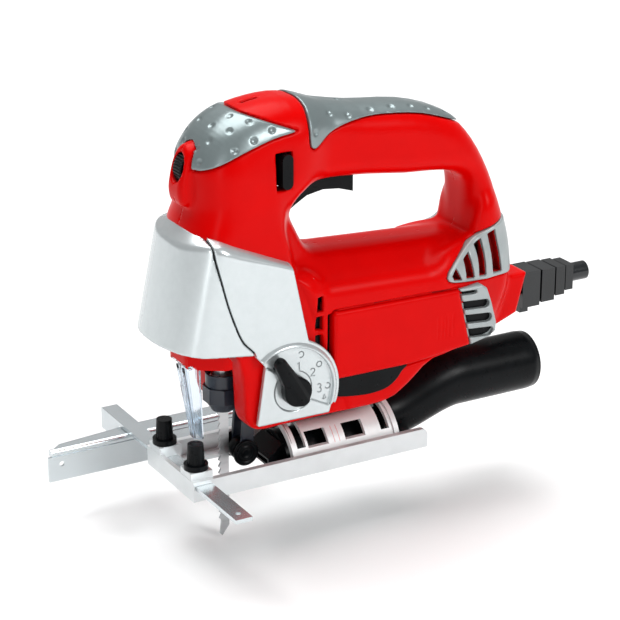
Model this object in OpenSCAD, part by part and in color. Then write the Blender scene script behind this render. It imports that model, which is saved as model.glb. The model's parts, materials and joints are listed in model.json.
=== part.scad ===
// Jigsaw: a D-handle power tool that drives a T-shank blade up and down through a tilting sole.
// X runs back from the blade to the cord, -Y is the tool's left, Z is up from the sole's underside.
// The origin is on the sole's underside, on the axis of the plunger.

/* [Body] */
// Length from the plunger axis to the back of the cord box
body_l = 193; // [185:1:232]
// Height of the top of the head above the sole's underside
overall_h = 214; // [200:1:255]
// Width of the gear and motor section
body_w = 66; // [62:1:80]
// Width of the D handle
handle_w = 39; // [32:1:47]
// Wall thickness of the moulded housings
wall = 3; // [2.5:0.1:3.6]

/* [Sole] */
// Length of the sole plate
sole_l = 150; // [125:1:180]
// Width of the sole plate
sole_w = 58; // [56:1:70]
// Height of the rim round the sole
rim_h = 11.5; // [10.6:0.1:13.8]
// Thickness of the sole's sheet
sole_t = 2.2; // [1.8:0.1:2.6]
// Distance from the front of the sole to the plunger axis
sole_front = 33.4; // [32:0.1:40]

/* [Drive] */
// Stroke of the plunger
stroke = 20; // [16:0.5:24]
// Teeth of the drive gear
gear_teeth = 60; // [50:2:62]
// Teeth of the pinion on the armature shaft
pinion_teeth = 10; // [9:1:12]
// Module of the gear teeth
gear_module = 0.9; // [0.8:0.01:0.92]
// Diameter of the plunger rod
rod_d = 10; // [9:0.1:11]

/* [Blade] */
// Overall length of the T-shank blade
blade_l = 100; // [83:1:120]
// Width of the toothed part of the blade
blade_w = 7; // [5:0.1:8]
// Thickness of the blade
blade_t = 1.2; // [0.9:0.1:1.5]
// Spacing of the saw teeth
tooth_pitch = 4; // [3:0.1:5]

/* [Dust tube] */
// Outer diameter of the dust tube
tube_d = 35; // [29:0.5:40]
// Wall thickness of the dust tube
tube_wall = 2; // [1.6:0.1:2.4]

/* [Rip guide] */
// Length of the guide arm
arm_l = 171; // [142:1:205]
// Width of the guide arm
arm_w = 10; // [8:0.1:11]
// Length of the fence
fence_l = 138; // [115:1:165]

/* [Hidden] */
$fn = 48;

// Clearance of a running fit on radius, and the seat between fixed pieces.
run = 0.05;
seat = 0.2;
eps = 0.01;

// The outlines below are drawn for a body 193 long and 214 high, and are stretched to the real one.
body_z = 34.5;
kx = body_l / 193;
kz = (overall_h - body_z) / (214 - body_z);
function fit(p) = [for (q = p) [q[0] * kx, body_z + (q[1] - body_z) * kz]];
function fx(x) = x * kx;
function fz(z) = body_z + (z - body_z) * kz;

body_half = body_w / 2;
handle_half = handle_w / 2;
head_half = body_half - 6;
rear_half = body_half - 9;
box_half = 16;
inner_half = body_half - wall;

// Drive train
motor_z = fz(78);
gear_r = gear_module * gear_teeth / 2;
pinion_r = gear_module * pinion_teeth / 2;
gear_z = motor_z + gear_r + pinion_r;
crank_r = stroke / 2;
crank_d = 8;
gear_x0 = 22;
gear_t = 8;
plate_x0 = 36;
plate_t = 5;
yoke_x0 = 8;
yoke_t = 7;
stator_r = 27;
stator_x0 = fx(68);
stator_x1 = fx(106);
shaft_d = 8;
bush_od = 14;
bush_h = 6.5;
upper_bush_z = gear_z + gear_r + 3.4;
case_z0 = 81.5;
trigger_x = fx(43);
trigger_z = fz(158);

// Blade clamp
clamp_z0 = 38;
clamp_z1 = 60;
clamp_r = 11.2;
blade_tip_z = -40;

// Sole and what rides on it
rim_t = 3.4;
arch_r = 26;
arch_t = 2.4;
arch_x0 = 31;
arch_x1 = 100;
bevel_screw_x = [37.8, 92.2];
arm_x0 = -32;
arm_z0 = 7;
arm_t = 2.3;
bracket_y = 19.5;
bracket_w = 13;
bracket_z = 15.5;
fence_y = 56.5;
fence_x0 = -82;
tube_z = 27;

// Fork and roller
roller_r = 6.4;
roller_x = blade_w / 2 + roller_r + 0.2;
roller_z = 11.5;
fork_x = 15;
fork_z = 52;

// ---------------------------------------------------------------- helpers

// Closed smooth curve through the points p, with n steps a span.
function spline(p, n) = let (c = len(p)) [for (i = [0 : c - 1], j = [0 : n - 1])
    let (t = j / n, a = p[(i + c - 1) % c], b = p[i], d = p[(i + 1) % c], e = p[(i + 2) % c])
    0.5 * (2 * b + (d - a) * t + (2 * a - 5 * b + 4 * d - e) * t * t
        + (3 * b - a - 3 * d + e) * t * t * t)];

function arc(x, z, r, a0, a1, n = 12) =
    [for (i = [0 : n]) let (a = a0 + (a1 - a0) * i / n) [x + r * cos(a), z + r * sin(a)]];

// How far the edge of a slab has rounded in at height y, when it starts to round ry below its face
// and loses rd in all.
function rounded(y, half, ry, rd) = y <= half - ry ? 0
    : rd * (1 - sqrt(max(0, 1 - pow((y - half + ry) / ry, 2))));

// Plate on the XZ outline p between y = y0 and y = y1, on the left side of the tool.
module plate_left(p, y0, y1) {
    translate([0, -y0, 0]) rotate([90, 0, 0]) linear_extrude(y1 - y0) polygon(p);
}

module x_rod(x0, x1, r, y = 0, z = 0) { translate([x0, y, z]) rotate([0, 90, 0]) cylinder(r = r, h = x1 - x0); }
module y_rod(y0, y1, r, x = 0, z = 0) { translate([x, y0, z]) rotate([-90, 0, 0]) cylinder(r = r, h = y1 - y0); }
module box(x0, x1, y0, y1, z0, z1) { translate([x0, y0, z0]) cube([x1 - x0, y1 - y0, z1 - z0]); }

module mirrored_y() { mirror([0, 1, 0]) children(); }

// ---------------------------------------------------------------- housing

lower_outline = spline(fit([[-13, 147], [-15.5, 118], [-15, 95], [-10.5, 86], [-6.5, 78], [-3.5, 69],
    [-2.4, 57], [-1.8, 45], [3, 37.4], [13, 34.9], [50, 34.9], [86, 35.2], [102, 43], [118, 54.5], [148, 59],
    [159, 74], [157, 97], [147, 113], [131, 120], [95, 122], [62, 123], [42, 135], [24, 148], [-4, 153]]), 2);
handle_outline = spline(fit([[-27, 153], [-28.4, 163], [-27.6, 172], [-25.4, 181], [-23.4, 187], [-18.5, 196],
    [-8, 204.5], [3, 209], [16, 212.2], [34, 213], [52, 210], [80, 204.4], [113, 200.3], [136, 192],
    [152, 181.5], [166, 165], [177, 142], [184, 116], [187, 94], [178, 77], [150, 72], [60, 88], [0, 105],
    [-26, 128]]), 2);
head_outline = spline(fit([[-26.5, 153], [-24, 166], [-23, 180], [-18.5, 195], [-7.5, 204], [4, 208.4], [16, 211.4],
    [34, 212.4], [49, 207], [55, 192], [51, 172], [40, 152], [20, 122], [-10, 119], [-26, 131]]), 2);
rear_outline = spline(fit([[124, 66], [148, 60.5], [170, 61.5], [184.5, 73], [187.5, 91], [183, 111], [176, 125],
    [164, 130], [146, 124], [125, 104]]), 2);
opening_outline = spline(fit([[47.5, 128], [56, 123.5], [90, 121.2], [126, 120], [142, 119.6], [149, 124.5],
    [150, 138], [147, 151], [139, 156.8], [124, 158.7], [109, 160], [98, 161.5], [85, 163.6], [62, 164.4],
    [50, 163], [43, 157], [41.2, 148], [42, 137]]), 2);
trigger_outline = fit(concat([[38, 149.5], [42, 152.2], [49, 156.2], [59, 158], [69, 157], [78, 154.2]],
    [[78, 165], [74, 167.5], [52, 167.5], [44, 163], [38.5, 156]]));

// The body's outline in the XZ plane at a distance y from its middle plane.
module body_section(y) {
    difference() {
        union() {
            if (y < body_half) offset(delta = -rounded(y, body_half, 6, 5)) polygon(lower_outline);
            if (y < handle_half) offset(delta = -rounded(y, handle_half, 14, 10)) polygon(handle_outline);
            if (y < head_half) offset(delta = -rounded(y, head_half, 18, 15)) polygon(head_outline);
            if (y < rear_half) offset(delta = -rounded(y, rear_half, 9, 8)) polygon(rear_outline);
            if (y < box_half) translate([fx(150), fz(62)]) square([fx(43), (89 - 62) * kz]);
        }
        offset(delta = rounded(y, handle_half + 0.5, 14, 9)) polygon(opening_outline);
    }
}

// Distances from the middle plane where the section changes.
levels = [0, handle_half - 12, handle_half - 7.5, box_half, handle_half, rear_half - 2, rear_half,
    head_half - 1.2, head_half, body_half - 3.5, body_half - 1.2, body_half];

// Solid on the +Y side, t inside the skin (or outside it, when t is negative).
module body_solid(t) {
    for (k = [0 : len(levels) - 2]) {
        y0 = k == 0 ? 0 : max(0, levels[k] - t);
        y1 = levels[k + 1] - t;
        if (y1 > y0) translate([0, y1, 0]) rotate([90, 0, 0]) linear_extrude(y1 - y0)
            offset(delta = -t) body_section((levels[k] + levels[k + 1]) / 2);
    }
}

boss_places = fit([[-16, 160], [20, 204], [88, 115], [152, 168], [121, 62], [60, 42], [182, 98]]);

module bosses(y0, y1, r) { for (b = boss_places) y_rod(y0, y1, r, b[0], b[1], $fn = 16); }

// Bay for the blade clamp and the roller fork, open to the front and below, grown by t.
module clamp_bay(t) {
    box(-60, 24 + t, -2, 17 + t, 30, 64 + t);
    box(-60, 13 + t, -2, 17 + t, 60, fz(79) + t);
}

// Half of the housing on the +Y side, before its own cut-outs.
module half_shell() {
    // stub axles of the speed dial and the trigger
    y_rod(0, 6.4, 2, wheel_x, wheel_z);
    y_rod(0, 9.2, 1.5, trigger_x, trigger_z);
    difference() {
        body_solid(0);
        difference() {
            translate([0, -eps, 0]) body_solid(wall);
            bosses(-1, body_half, 4.5);
            clamp_bay(wall);
            y_rod(-2, 5.8 + wall, wheel_r + wall, wheel_x, wheel_z);
            box(fx(34), fx(83), -2, 8.6 + wall, fz(148), fz(173));
            // ribs that carry the stator
            for (x = [stator_x0 + 4, stator_x1 - 9]) difference() {
                box(x, x + 5, -1, body_half, fz(36), fz(118));
                x_rod(x - 1, x + 6, stator_r + 0.1, 0, motor_z);
            }
            // rib that carries the rear bearing
            difference() {
                box(fx(146), fx(151), -1, rear_half, fz(58), fz(112));
                x_rod(fx(146) - 1, fx(151) + 1, 11.1, 0, motor_z);
            }
        }
        clamp_bay(0);
        // mouth for the nose of the gear case, above the bay
        box(fx(-12), 16, -1, 27.4, case_z0 - 7, case_z0 + bush_h + 0.4);
        // slot above the trigger
        box(fx(37), fx(80), -1, 8.6, fz(149), fz(173));
        // seat of the speed dial in the nose
        y_rod(-1, 5.8, wheel_r + 0.6, wheel_x, wheel_z);
        // holes for the bevel screws
        for (x = bevel_screw_x) translate([x, 0, 30]) cylinder(r = 2.7, h = 20);
        // hole for the cord sleeve
        x_rod(fx(180), fx(200), 7.2, 0, fz(76.5));
        bosses(-1, body_half + 5, 1.7);
        // air slots behind the side cover, the rear grille and the side vent
        for (i = [0 : 3]) {
            box(fx(39), fx(46), inner_half - 4, 40, fz(87 + 7 * i), fz(91 + 7 * i));
            box(fx(146 + 6.5 * i), fx(149 + 6.5 * i), rear_half - 8, 40, fz(99), fz(113 + 3 * i));
            box(fx(142), fx(149), inner_half - 4, 40, fz(65 + 7 * i), fz(68.4 + 7 * i));
        }
    }
}

module housing_left() {
    color("#d01012") difference() {
        mirrored_y() half_shell();
        // pocket for the shaft of the orbital lever
        y_rod(-50, -15, 4.3, dial_x, dial_z);
        oblong(lock_r + seat, -50, -15);
    }
}

module housing_right() {
    color("#d01012") difference() {
        half_shell();
        // counterbores for the screw heads
        for (b = boss_places) y_rod(9, 60, 3.6, b[0], b[1], $fn = 16);
    }
}

// ---------------------------------------------------------------- covers and trim

hood_lean = 13;
hood_z0 = fz(92);
hood_z1 = fz(152);
seam_outline = fit([[-60, 94], [-38, 91], [2, 80], [-9, 103], [-16, 124], [-20, 149.5], [-34, 151], [-60, 152]]);

// Plan of the hood at one height: a rounded nose whose front is at x.
module hood_ring(x, half, r, z) {
    translate([0, 0, z]) linear_extrude(1) hull() {
        for (s = [-1, 1]) translate([x + r, s * (half - r)]) circle(r, $fn = 28);
        translate([10, -half]) square([1, 2 * half]);
    }
}

module hood_block(t) {
    hull() {
        hood_ring(-34 + t, body_half + 2.5 - t, 17, hood_z1 + 4);
        hood_ring(-34 - hood_lean + t, body_half + 2.5 - t, 21, hood_z0 - 12);
    }
}

module front_hood() {
    color("#c4ccce") difference() {
        intersection() {
            hood_block(0);
            translate([0, 60, 0]) rotate([90, 0, 0]) linear_extrude(120) polygon(seam_outline);
        }
        hood_block(2.5);
    }
}

dial_x = fx(26);
dial_z = fz(56.5);
ring_x = fx(23);
ring_z = fz(55);
ring_r = 31;
ring_in = 26.5;
scale_cut = -10.5;
cover_outline = concat(fit([[5.5, 39], [50, 39], [47, 45]]), arc(ring_x, ring_z, ring_r - 2, -22, 82),
    fit([[31, 97], [23, 130], [-19.4, 148], [-15.4, 124], [-8.4, 103], [2.6, 80.5], [9, 72]]));

// Flat cover on the left face of the body, on the outline p.
module cover_plate(p, t) { plate_left(p, body_half, body_half + t); }

module side_cover_left() {
    color("#c4ccce") difference() {
        union() {
            cover_plate(cover_outline, 2.5);
            scale_disc(ring_r - 0.5, 0, 1, scale_cut);
        }
        scale_disc(ring_r + seat, 0.8, 4, scale_cut - seat);
        y_rod(-60, -20, 4.2, dial_x, dial_z);
    }
}

module side_cover_right() {
    color("#c4ccce") mirrored_y() cover_plate(concat(fit([[5.5, 39], [50, 39], [52, 60]]),
        arc(ring_x, ring_z, ring_r, 12, 70), fit([[31, 97], [23, 130], [-19.4, 148], [-15.4, 124],
        [-8.4, 103], [2.6, 80.5], [9, 72]])), 2.5);
}

// Front edge of the scale and of the cover, measured from the scale's centre.
scale_edge = [[-24, -40], [-14.8, 18.1], [-21, 25.4], [-27, 40], [60, 40], [60, -40]];

// Part of a disc about the scale's centre, above the height z = low, from t0 to t1 off the body.
module scale_disc(r, t0, t1, low) {
    translate([ring_x, -body_half, ring_z]) rotate([90, 0, 0]) intersection() {
        translate([0, 0, t0]) cylinder(r = r, h = t1 - t0);
        translate([-60, low, t0 - 1]) cube([120, 100, t1 - t0 + 2]);
        translate([0, 0, t0 - 1]) linear_extrude(t1 - t0 + 2) polygon(scale_edge);
    }
}

// Raised ring round the upper half of the lever, and the sunk scale inside it.
module orbital_scale() {
    color("#d8dee0") difference() {
        scale_disc(ring_r, 1, 6, scale_cut);
        scale_disc(ring_in, 2.2, 7, -60);
        y_rod(-60, -20, 4.2, dial_x, dial_z);
    }
}

lever_tip = [-11.2, 22];
module orbital_lever() {
    color("#15171a") {
        translate([dial_x, -body_half - 2.8, dial_z]) rotate([90, 0, 0]) {
            cylinder(r = 8, h = 10);
            translate([0, 0, 3.4]) linear_extrude(5.4) polygon([[7.6, 2.5],
                [lever_tip[0] + 4.4, lever_tip[1] + 2.4], [lever_tip[0] - 1, lever_tip[1] + 3],
                [lever_tip[0] - 3.6, lever_tip[1] - 0.5], [-7.6, -2.5]]);
        }
        y_rod(-body_half - 3, -21, 4, dial_x, dial_z);
    }
}

// Soft skin 1 mm thick over both sides of the body, inside the XZ outline p.
module skin(p) {
    for (s = [0, 1]) mirror([0, s, 0]) difference() {
        body_solid(-1.2);
        translate([0, -eps, 0]) body_solid(-seat);
        translate([0, 60, 0]) rotate([90, 0, 0]) linear_extrude(120) difference() {
            translate([-200, -100]) square([600, 600]);
            polygon(p);
        }
    }
}

nose_outline = spline(fit([[-26, 181], [-24, 190], [-18, 200], [-7, 208.5], [2, 214], [10, 209], [20, 204.8],
    [31.5, 200.3], [32.5, 198.8], [18, 195.8], [2, 190.6], [-12, 184.4], [-20, 181]]), 2);
module nose_cap() {
    color("#8d9497") difference() {
        skin(nose_outline);
        y_rod(-6.2, 6.2, wheel_r + 0.8, wheel_x, wheel_z);
    }
}

grip_outline = spline(fit([[44.5, 206], [50, 214], [80, 209], [113, 204.5], [136, 197], [149, 188], [151.5, 182.5],
    [143, 185.6], [126, 191.4], [110, 195.4], [88, 197.2], [70, 196.6], [57, 192.3], [46, 187.2], [41.8, 190],
    [41.4, 198]]), 2);
module handle_grip() { color("#8d9497") skin(grip_outline); }

panel_outline = fit([[55, 63], [57.5, 59.5], [130, 60.3], [133.5, 63], [132.6, 93.5], [130, 96.5], [54, 98.5],
    [51.5, 95.5]]);
module motor_panel_left() { color("#d01012") cover_plate(panel_outline, 3.5); }
module motor_panel_right() { color("#d01012") mirrored_y() cover_plate(panel_outline, 3.5); }

vent_outline = fit([[134.5, 95.5], [147, 95], [150.5, 92.6], [154.5, 80], [156, 72], [150.5, 63], [140.5, 61.5],
    [141, 64.5]]);
module side_vent() {
    difference() {
        cover_plate(vent_outline, 3);
        for (i = [0 : 3]) box(fx(142.5 - i), fx(148.5), -60, 0, fz(65 + 7 * i), fz(68.4 + 7 * i));
    }
}
module side_vent_left() { color("#8d9497") side_vent(); }
module side_vent_right() { color("#8d9497") mirrored_y() side_vent(); }

// Grille on the rounded back corner of the body.
grille_outline = fit([[140, 94], [173, 95], [176, 98], [171, 120.5], [163, 123.5], [154, 120], [143, 113],
    [136, 104], [136, 98]]);
module rear_grille() {
    difference() {
        plate_left(grille_outline, rear_half + seat, rear_half + 2.6);
        for (i = [0 : 3]) translate([fx(145.5 + 6.5 * i), -60, fz(99)]) rotate([0, 14, 0])
            cube([3.2, 60, (12 + 4 * i) * kz]);
        // clearance to the wider gear and motor section
        plate_left(fit([[100, 50], [152, 50], [160, 99], [151, 115], [135, 125], [100, 125]]), 0, body_half);
    }
}
module rear_grille_left() { color("#8d9497") rear_grille(); }
module rear_grille_right() { color("#8d9497") mirrored_y() rear_grille(); }

trim_outline = fit([[54, 47], [112, 52], [114, 57], [54, 57.5]]);
module belly_trim_left() { color("#15171a") cover_plate(trim_outline, 1.2); }
module belly_trim_right() { color("#15171a") mirrored_y() cover_plate(trim_outline, 1.2); }

// Clear shield in front of the blade, narrower and set back at its foot, and the axis of its hinge.
guard_z0 = 24.5;
guard_z1 = fz(69);
guard_x0 = -19;
guard_x1 = -26;
hinge_x = guard_x1 + 1.4;
hinge_z = guard_z1 + 1.8;

// Plan of the skirt, less t all round.
module shroud_plan(t, x1) {
    hull() for (s = [-1, 1]) {
        translate([-18.5, s * 7]) circle(8.5 - t, $fn = 32);
        translate([x1, s * 19]) circle(12 - t, $fn = 32);
    }
}

// Skirt round the blade clamp, under the hood, with two ears for the shield's hinge.
module inner_shroud() {
    color("#b80e10") difference() {
        union() {
            intersection() {
                translate([0, 0, fz(66)]) linear_extrude(32) difference() {
                    shroud_plan(0, -4);
                    shroud_plan(2, 10);
                }
                translate([0, 60, 0]) rotate([90, 0, 0]) linear_extrude(120)
                    polygon(fit([[-40, 70.4], [-24, 70.4], [-12, 72.6], [-9, 73.6], [-9, 78], [-13.5, 84.5],
                        [-18, 92], [-40, 96]]));
            }
            for (s = [-1, 1]) box(hinge_x - 1.8, hinge_x + 2.4, s > 0 ? 8.8 : -10.5, s > 0 ? 10.5 : -8.8,
                hinge_z - 0.6, hinge_z + 5);
        }
        y_rod(-30, 30, 1.6 + run, hinge_x, hinge_z);
        y_rod(-8.7, 8.7, 2.6, hinge_x, hinge_z);
    }
}

module guard_block(t) {
    hull() {
        translate([guard_x0 + 5, 0, guard_z0 - (t > 0 ? 1 : 0)])
            linear_extrude(1) intersection() { circle(5.5 - t); translate([-9, -9]) square([8, 18]); }
        translate([guard_x1 + 12.6, 0, guard_z1]) linear_extrude(1 + t)
            intersection() { circle(12.6 - t); translate([-20, -20]) square([14.4, 40]); }
    }
}
module blade_guard() {
    color("#c8dce6", 0.4) difference() {
        guard_block(0);
        translate([0.02, 0, 0]) guard_block(1.8);
    }
    // hinge barrel that clips into the skirt's ears
    color("#c8dce6", 0.4) y_rod(-10.5, 10.5, 1.6, hinge_x, hinge_z);
}

module trigger() {
    color("#15171a") difference() {
        translate([0, 8, 0]) rotate([90, 0, 0]) linear_extrude(16) polygon(trigger_outline);
        y_rod(-9, 9, 1.5 + run, trigger_x, trigger_z);
    }
}

lock_x = fx(25.5);
lock_z = fz(178.5);
lock_r = 3.2;

// Upright oblong of radius r between two distances to the side.
module oblong(r, y0, y1) {
    translate([lock_x, y1, lock_z]) rotate([90, 0, 0]) linear_extrude(y1 - y0)
        polygon(concat(arc(0, 6.4, r, 0, 180), arc(0, -6.4, r, 180, 360)));
}
module lock_button() { color("#15171a") oblong(lock_r, -head_half - 2.8, -head_half + 7); }

// Ribbed thumb wheel that sets the speed, half sunk in the nose.
wheel_r = 12;
wheel_x = fx(-14.5);
wheel_z = fz(179);
module speed_dial() {
    color("#15171a") difference() {
        y_rod(-5.2, 5.2, wheel_r, wheel_x, wheel_z);
        for (i = [0 : 23]) translate([wheel_x, 0, wheel_z]) rotate([0, 15 * i, 0])
            translate([wheel_r - 0.7, -6, -0.6]) cube([1.4, 12, 1.2]);
        y_rod(-6, 6, 2 + run, wheel_x, wheel_z);
    }
}

// ---------------------------------------------------------------- inside the body

trigger_top = fz(167.5);
switch_half = handle_half - wall - 0.3;
module switch_body() {
    color("#2a2d31") {
        box(fx(50), fx(82), -switch_half, switch_half, trigger_top + 8, trigger_top + 22);
        box(fx(62), fx(66), -3, 3, trigger_top + 4, trigger_top + 8);
    }
}

module speed_board() {
    top = fz(204) - 4.8;
    color("#1f6b3a") box(fx(1), fx(36), -14, 14, top - 9.6, top - 8);
    color("#2a2d31") for (x = [4, 17]) box(fx(x), fx(x) + 8, -6, 6, top - 8, top);
}

// Cast frame: a bulkhead behind the gear, an arm over it and a yoke-shaped nose under it, which
// hold the plunger's bushes.
module gear_case() {
    color("#b9bec2") difference() {
        union() {
            box(plate_x0, plate_x0 + plate_t, -inner_half + seat, inner_half - seat, motor_z - 22, gear_z + 7);
            x_rod(plate_x0, plate_x0 + plate_t + 7, 14, 0, motor_z);
            x_rod(gear_x0 + gear_t + 0.4, plate_x0 + plate_t + 7, 8, 0, gear_z);
            box(plate_x0 - 5, plate_x0 + 1, -8.8, 8.8, gear_z + 5, upper_bush_z + bush_h);
            box(0, plate_x0, -9, 9, upper_bush_z, upper_bush_z + bush_h);
            for (s = [-1, 1]) box(-6, plate_x0 + 1, s > 0 ? 21 : -27, s > 0 ? 27 : -21, case_z0, case_z0 + bush_h);
            box(-6, 14, -27, 27, case_z0, case_z0 + bush_h);
            for (z = [case_z0, upper_bush_z]) translate([0, 0, z]) cylinder(d = bush_od + 6, h = bush_h);
        }
        for (z = [case_z0, upper_bush_z]) translate([0, 0, z - 1]) cylinder(d = bush_od, h = bush_h + 2);
        x_rod(plate_x0 + plate_t, plate_x0 + plate_t + 8, 11, 0, motor_z);
        x_rod(plate_x0 - 1, plate_x0 + plate_t + 1, 7, 0, motor_z);
        x_rod(gear_x0, plate_x0 + plate_t + 8, 4, 0, gear_z);
    }
}

module gear_pin() { color("#8d9296") x_rod(gear_x0 + 0.5, plate_x0 + plate_t + 7, 4, 0, gear_z); }

// Spur gear of n teeth along X: a root disc with tapered teeth, turned by phase degrees.
module spur(n, t, phase, root_less, tip_more) {
    r = gear_module * n / 2;
    pitch = 360 / n;
    rotate([0, 90, 0]) linear_extrude(t) polygon([for (i = [0 : n - 1], q = [[-0.36, -root_less],
        [-0.2, 0], [-0.1, tip_more], [0.1, tip_more], [0.2, 0], [0.36, -root_less]])
        (r + q[1]) * [cos(phase + pitch * (i + q[0])), sin(phase + pitch * (i + q[0]))]]);
}

module drive_gear() {
    color("#c9b27a") difference() {
        union() {
            // a tooth gap faces the pinion, straight below the axle
            translate([gear_x0, 0, gear_z]) spur(gear_teeth, gear_t, 180 / gear_teeth, 1.1, 0.8);
            translate([0, 0, gear_z - crank_r]) x_rod(yoke_x0 + 0.8, gear_x0 + 1, crank_d / 2);
        }
        x_rod(gear_x0 - 1, gear_x0 + gear_t + 1, 4 + run, 0, gear_z);
    }
}

// Half-moon weight on the gear's face, opposite the crank pin.
module counterweight() {
    color("#7c8084") translate([gear_x0 - 3.5, 0, gear_z]) rotate([0, 90, 0]) intersection() {
        difference() {
            cylinder(r = gear_r - 3, h = 3.5);
            translate([0, 0, -1]) cylinder(r = 8, h = 6);
        }
        translate([-60, -60, -1]) cube([56, 120, 6]);
    }
}

yoke_half = crank_r + crank_d / 2 + 4.6;
yoke_gap = crank_d / 2 + crank_r * 0.27;
module plunger() {
    color("#a8adb1") difference() {
        union() {
            translate([0, 0, clamp_z0 + 2]) cylinder(d = rod_d, h = upper_bush_z + bush_h - 1.6 - clamp_z0);
            // yoke, joined to the rod by a short web
            box(yoke_x0, yoke_x0 + yoke_t, -yoke_half, yoke_half, gear_z - crank_r - yoke_gap - 4,
                gear_z - crank_r + yoke_gap + 4);
            box(0, yoke_x0 + 1, -4, 4, gear_z - crank_r - yoke_gap - 4, gear_z - crank_r + yoke_gap + 4);
        }
        box(yoke_x0 - 0.6, yoke_x0 + yoke_t + 1, -crank_r - crank_d / 2 - 0.6, crank_r + crank_d / 2 + 0.6,
            gear_z - crank_r - yoke_gap, gear_z - crank_r + yoke_gap);
        // slot for the blade's shank
        box(-blade_w / 2 - 0.1, blade_w / 2 + 0.1, -blade_t / 2 - 0.05, blade_t / 2 + 0.05, 30,
            blade_tip_z + blade_l + 0.3);
    }
}

module plunger_bushes() {
    color("#b08d4f") for (z = [case_z0, upper_bush_z]) translate([0, 0, z]) difference() {
        cylinder(d = bush_od, h = bush_h);
        translate([0, 0, -1]) cylinder(r = rod_d / 2 + run, h = bush_h + 2);
    }
}

// T-shank blade, teeth to the front, in the plane of the cut.
module blade() {
    top = blade_tip_z + blade_l;
    teeth_top = top - 25;
    count = floor((teeth_top - blade_tip_z - 4) / tooth_pitch);
    outline = concat([[blade_w / 2 - 0.4, teeth_top + 4], [2.6, teeth_top + 6], [2.6, top - 3], [-2.6, top - 3],
        [-2.6, teeth_top + 6], [-blade_w / 2, teeth_top + 2]],
        [for (i = [0 : count - 1], q = [[-blade_w / 2, 0], [-blade_w / 2 + 1.4, -0.35]])
            [q[0], teeth_top - tooth_pitch * (i - q[1])]],
        [[-blade_w / 2 + 0.4, blade_tip_z + 1.5], [-blade_w / 2 + 1.6, blade_tip_z],
        [blade_w / 2 - 0.8, blade_tip_z + 6]]);
    color("#b9bec2") translate([0, blade_t / 2, 0]) rotate([90, 0, 0]) linear_extrude(blade_t) {
        polygon(outline);
        translate([-3.3, top - 6]) square([6.6, 3]);
    }
}

// Keyless collar: eight flats, a narrower neck above them and a cone below.
module blade_clamp() {
    color("#23272e") difference() {
        union() {
            translate([0, 0, clamp_z0 + 5.6]) rotate([0, 0, 22.5]) cylinder(r = clamp_r, h = 9, $fn = 8);
            translate([0, 0, clamp_z0 + 14]) cylinder(r = 9.6, h = clamp_z1 - clamp_z0 - 14);
            translate([0, 0, clamp_z0]) cylinder(r1 = 6.5, r2 = clamp_r - 1.2, h = 6);
        }
        translate([0, 0, clamp_z0 - 1]) cylinder(r = rod_d / 2 + run, h = 40);
        // room for the return spring
        translate([0, 0, clamp_z1 - 8]) cylinder(r = 8, h = 9);
    }
}

module clamp_spring() {
    color("#8d9296") for (i = [0 : 2]) translate([0, 0, clamp_z1 - 6.6 + 2.3 * i])
        rotate_extrude() translate([rod_d / 2 + 1.3, 0]) circle(1.1, $fn = 16);
}

// ---------------------------------------------------------------- motor

pinion_x0 = 20;
rear_bearing_x = fx(147);
module armature_shaft() {
    color("#a8adb1") {
        x_rod(plate_x0 - 3, rear_bearing_x + 8, shaft_d / 2, 0, motor_z);
        // pinion: its teeth sit in the gaps of the gear above it
        translate([pinion_x0, 0, motor_z]) spur(pinion_teeth, plate_x0 - 3 - pinion_x0, 180, 0.95, 0.75);
    }
}

module rotor_core() {
    color("#7c8084") difference() {
        x_rod(stator_x0 + 1, stator_x1 - 1, 16, 0, motor_z);
        x_rod(stator_x0, stator_x1, shaft_d / 2, 0, motor_z);
        for (i = [0 : 11]) translate([stator_x0, 0, motor_z]) rotate([30 * i, 0, 0])
            translate([0, -1, 13]) cube([stator_x1 - stator_x0, 2, 4]);
    }
}

module commutator() {
    color("#b87333") difference() {
        x_rod(fx(124), fx(139), 11, 0, motor_z);
        x_rod(fx(123), fx(140), shaft_d / 2, 0, motor_z);
        for (i = [0 : 17]) translate([fx(123), 0, motor_z]) rotate([20 * i, 0, 0])
            translate([0, -0.35, 9.4]) cube([20 * kx, 0.7, 3]);
    }
}

module cooling_fan() {
    color("#2a2d31") difference() {
        union() {
            x_rod(fx(50), fx(50) + 2, 25, 0, motor_z);
            x_rod(fx(50), fx(50) + 11.6, 8, 0, motor_z);
            for (i = [0 : 10]) translate([fx(50) + 1, 0, motor_z]) rotate([360 / 11 * i, 0, 0])
                translate([0, -0.9, 7]) cube([10, 1.8, 17]);
        }
        x_rod(fx(49), fx(66), shaft_d / 2, 0, motor_z);
    }
}

coil_y = 12;
coil_z = 20.3;
module stator() {
    color("#6b7075") difference() {
        x_rod(stator_x0, stator_x1, stator_r, 0, motor_z);
        x_rod(stator_x0 - 1, stator_x1 + 1, 17, 0, motor_z);
        // windows for the field coils
        for (s = [-1, 1]) box(stator_x0 - 1, stator_x1 + 1, -coil_y, coil_y,
            motor_z + s * coil_z - 2.5, motor_z + s * coil_z + 2.5);
    }
}

module field_coils() {
    color("#b87333") for (s = [-1, 1]) box(stator_x0 - 4, stator_x1 + 4,
        -coil_y + seat, coil_y - seat, motor_z + s * coil_z - 2.3, motor_z + s * coil_z + 2.3);
}

// Ball bearing drawn as its two rings with a web between them, along X.
module bearing(x) {
    difference() {
        x_rod(x, x + 7, 11, 0, motor_z);
        x_rod(x - 1, x + 8, shaft_d / 2 + run, 0, motor_z);
        for (x1 = [x - 1, x + 6]) difference() {
            x_rod(x1, x1 + 2, 9, 0, motor_z);
            x_rod(x1 - 1, x1 + 3, 6.2, 0, motor_z);
        }
    }
}
module shaft_bearings() { color("#a8adb1") for (x = [plate_x0 + plate_t, rear_bearing_x]) bearing(x); }

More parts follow.
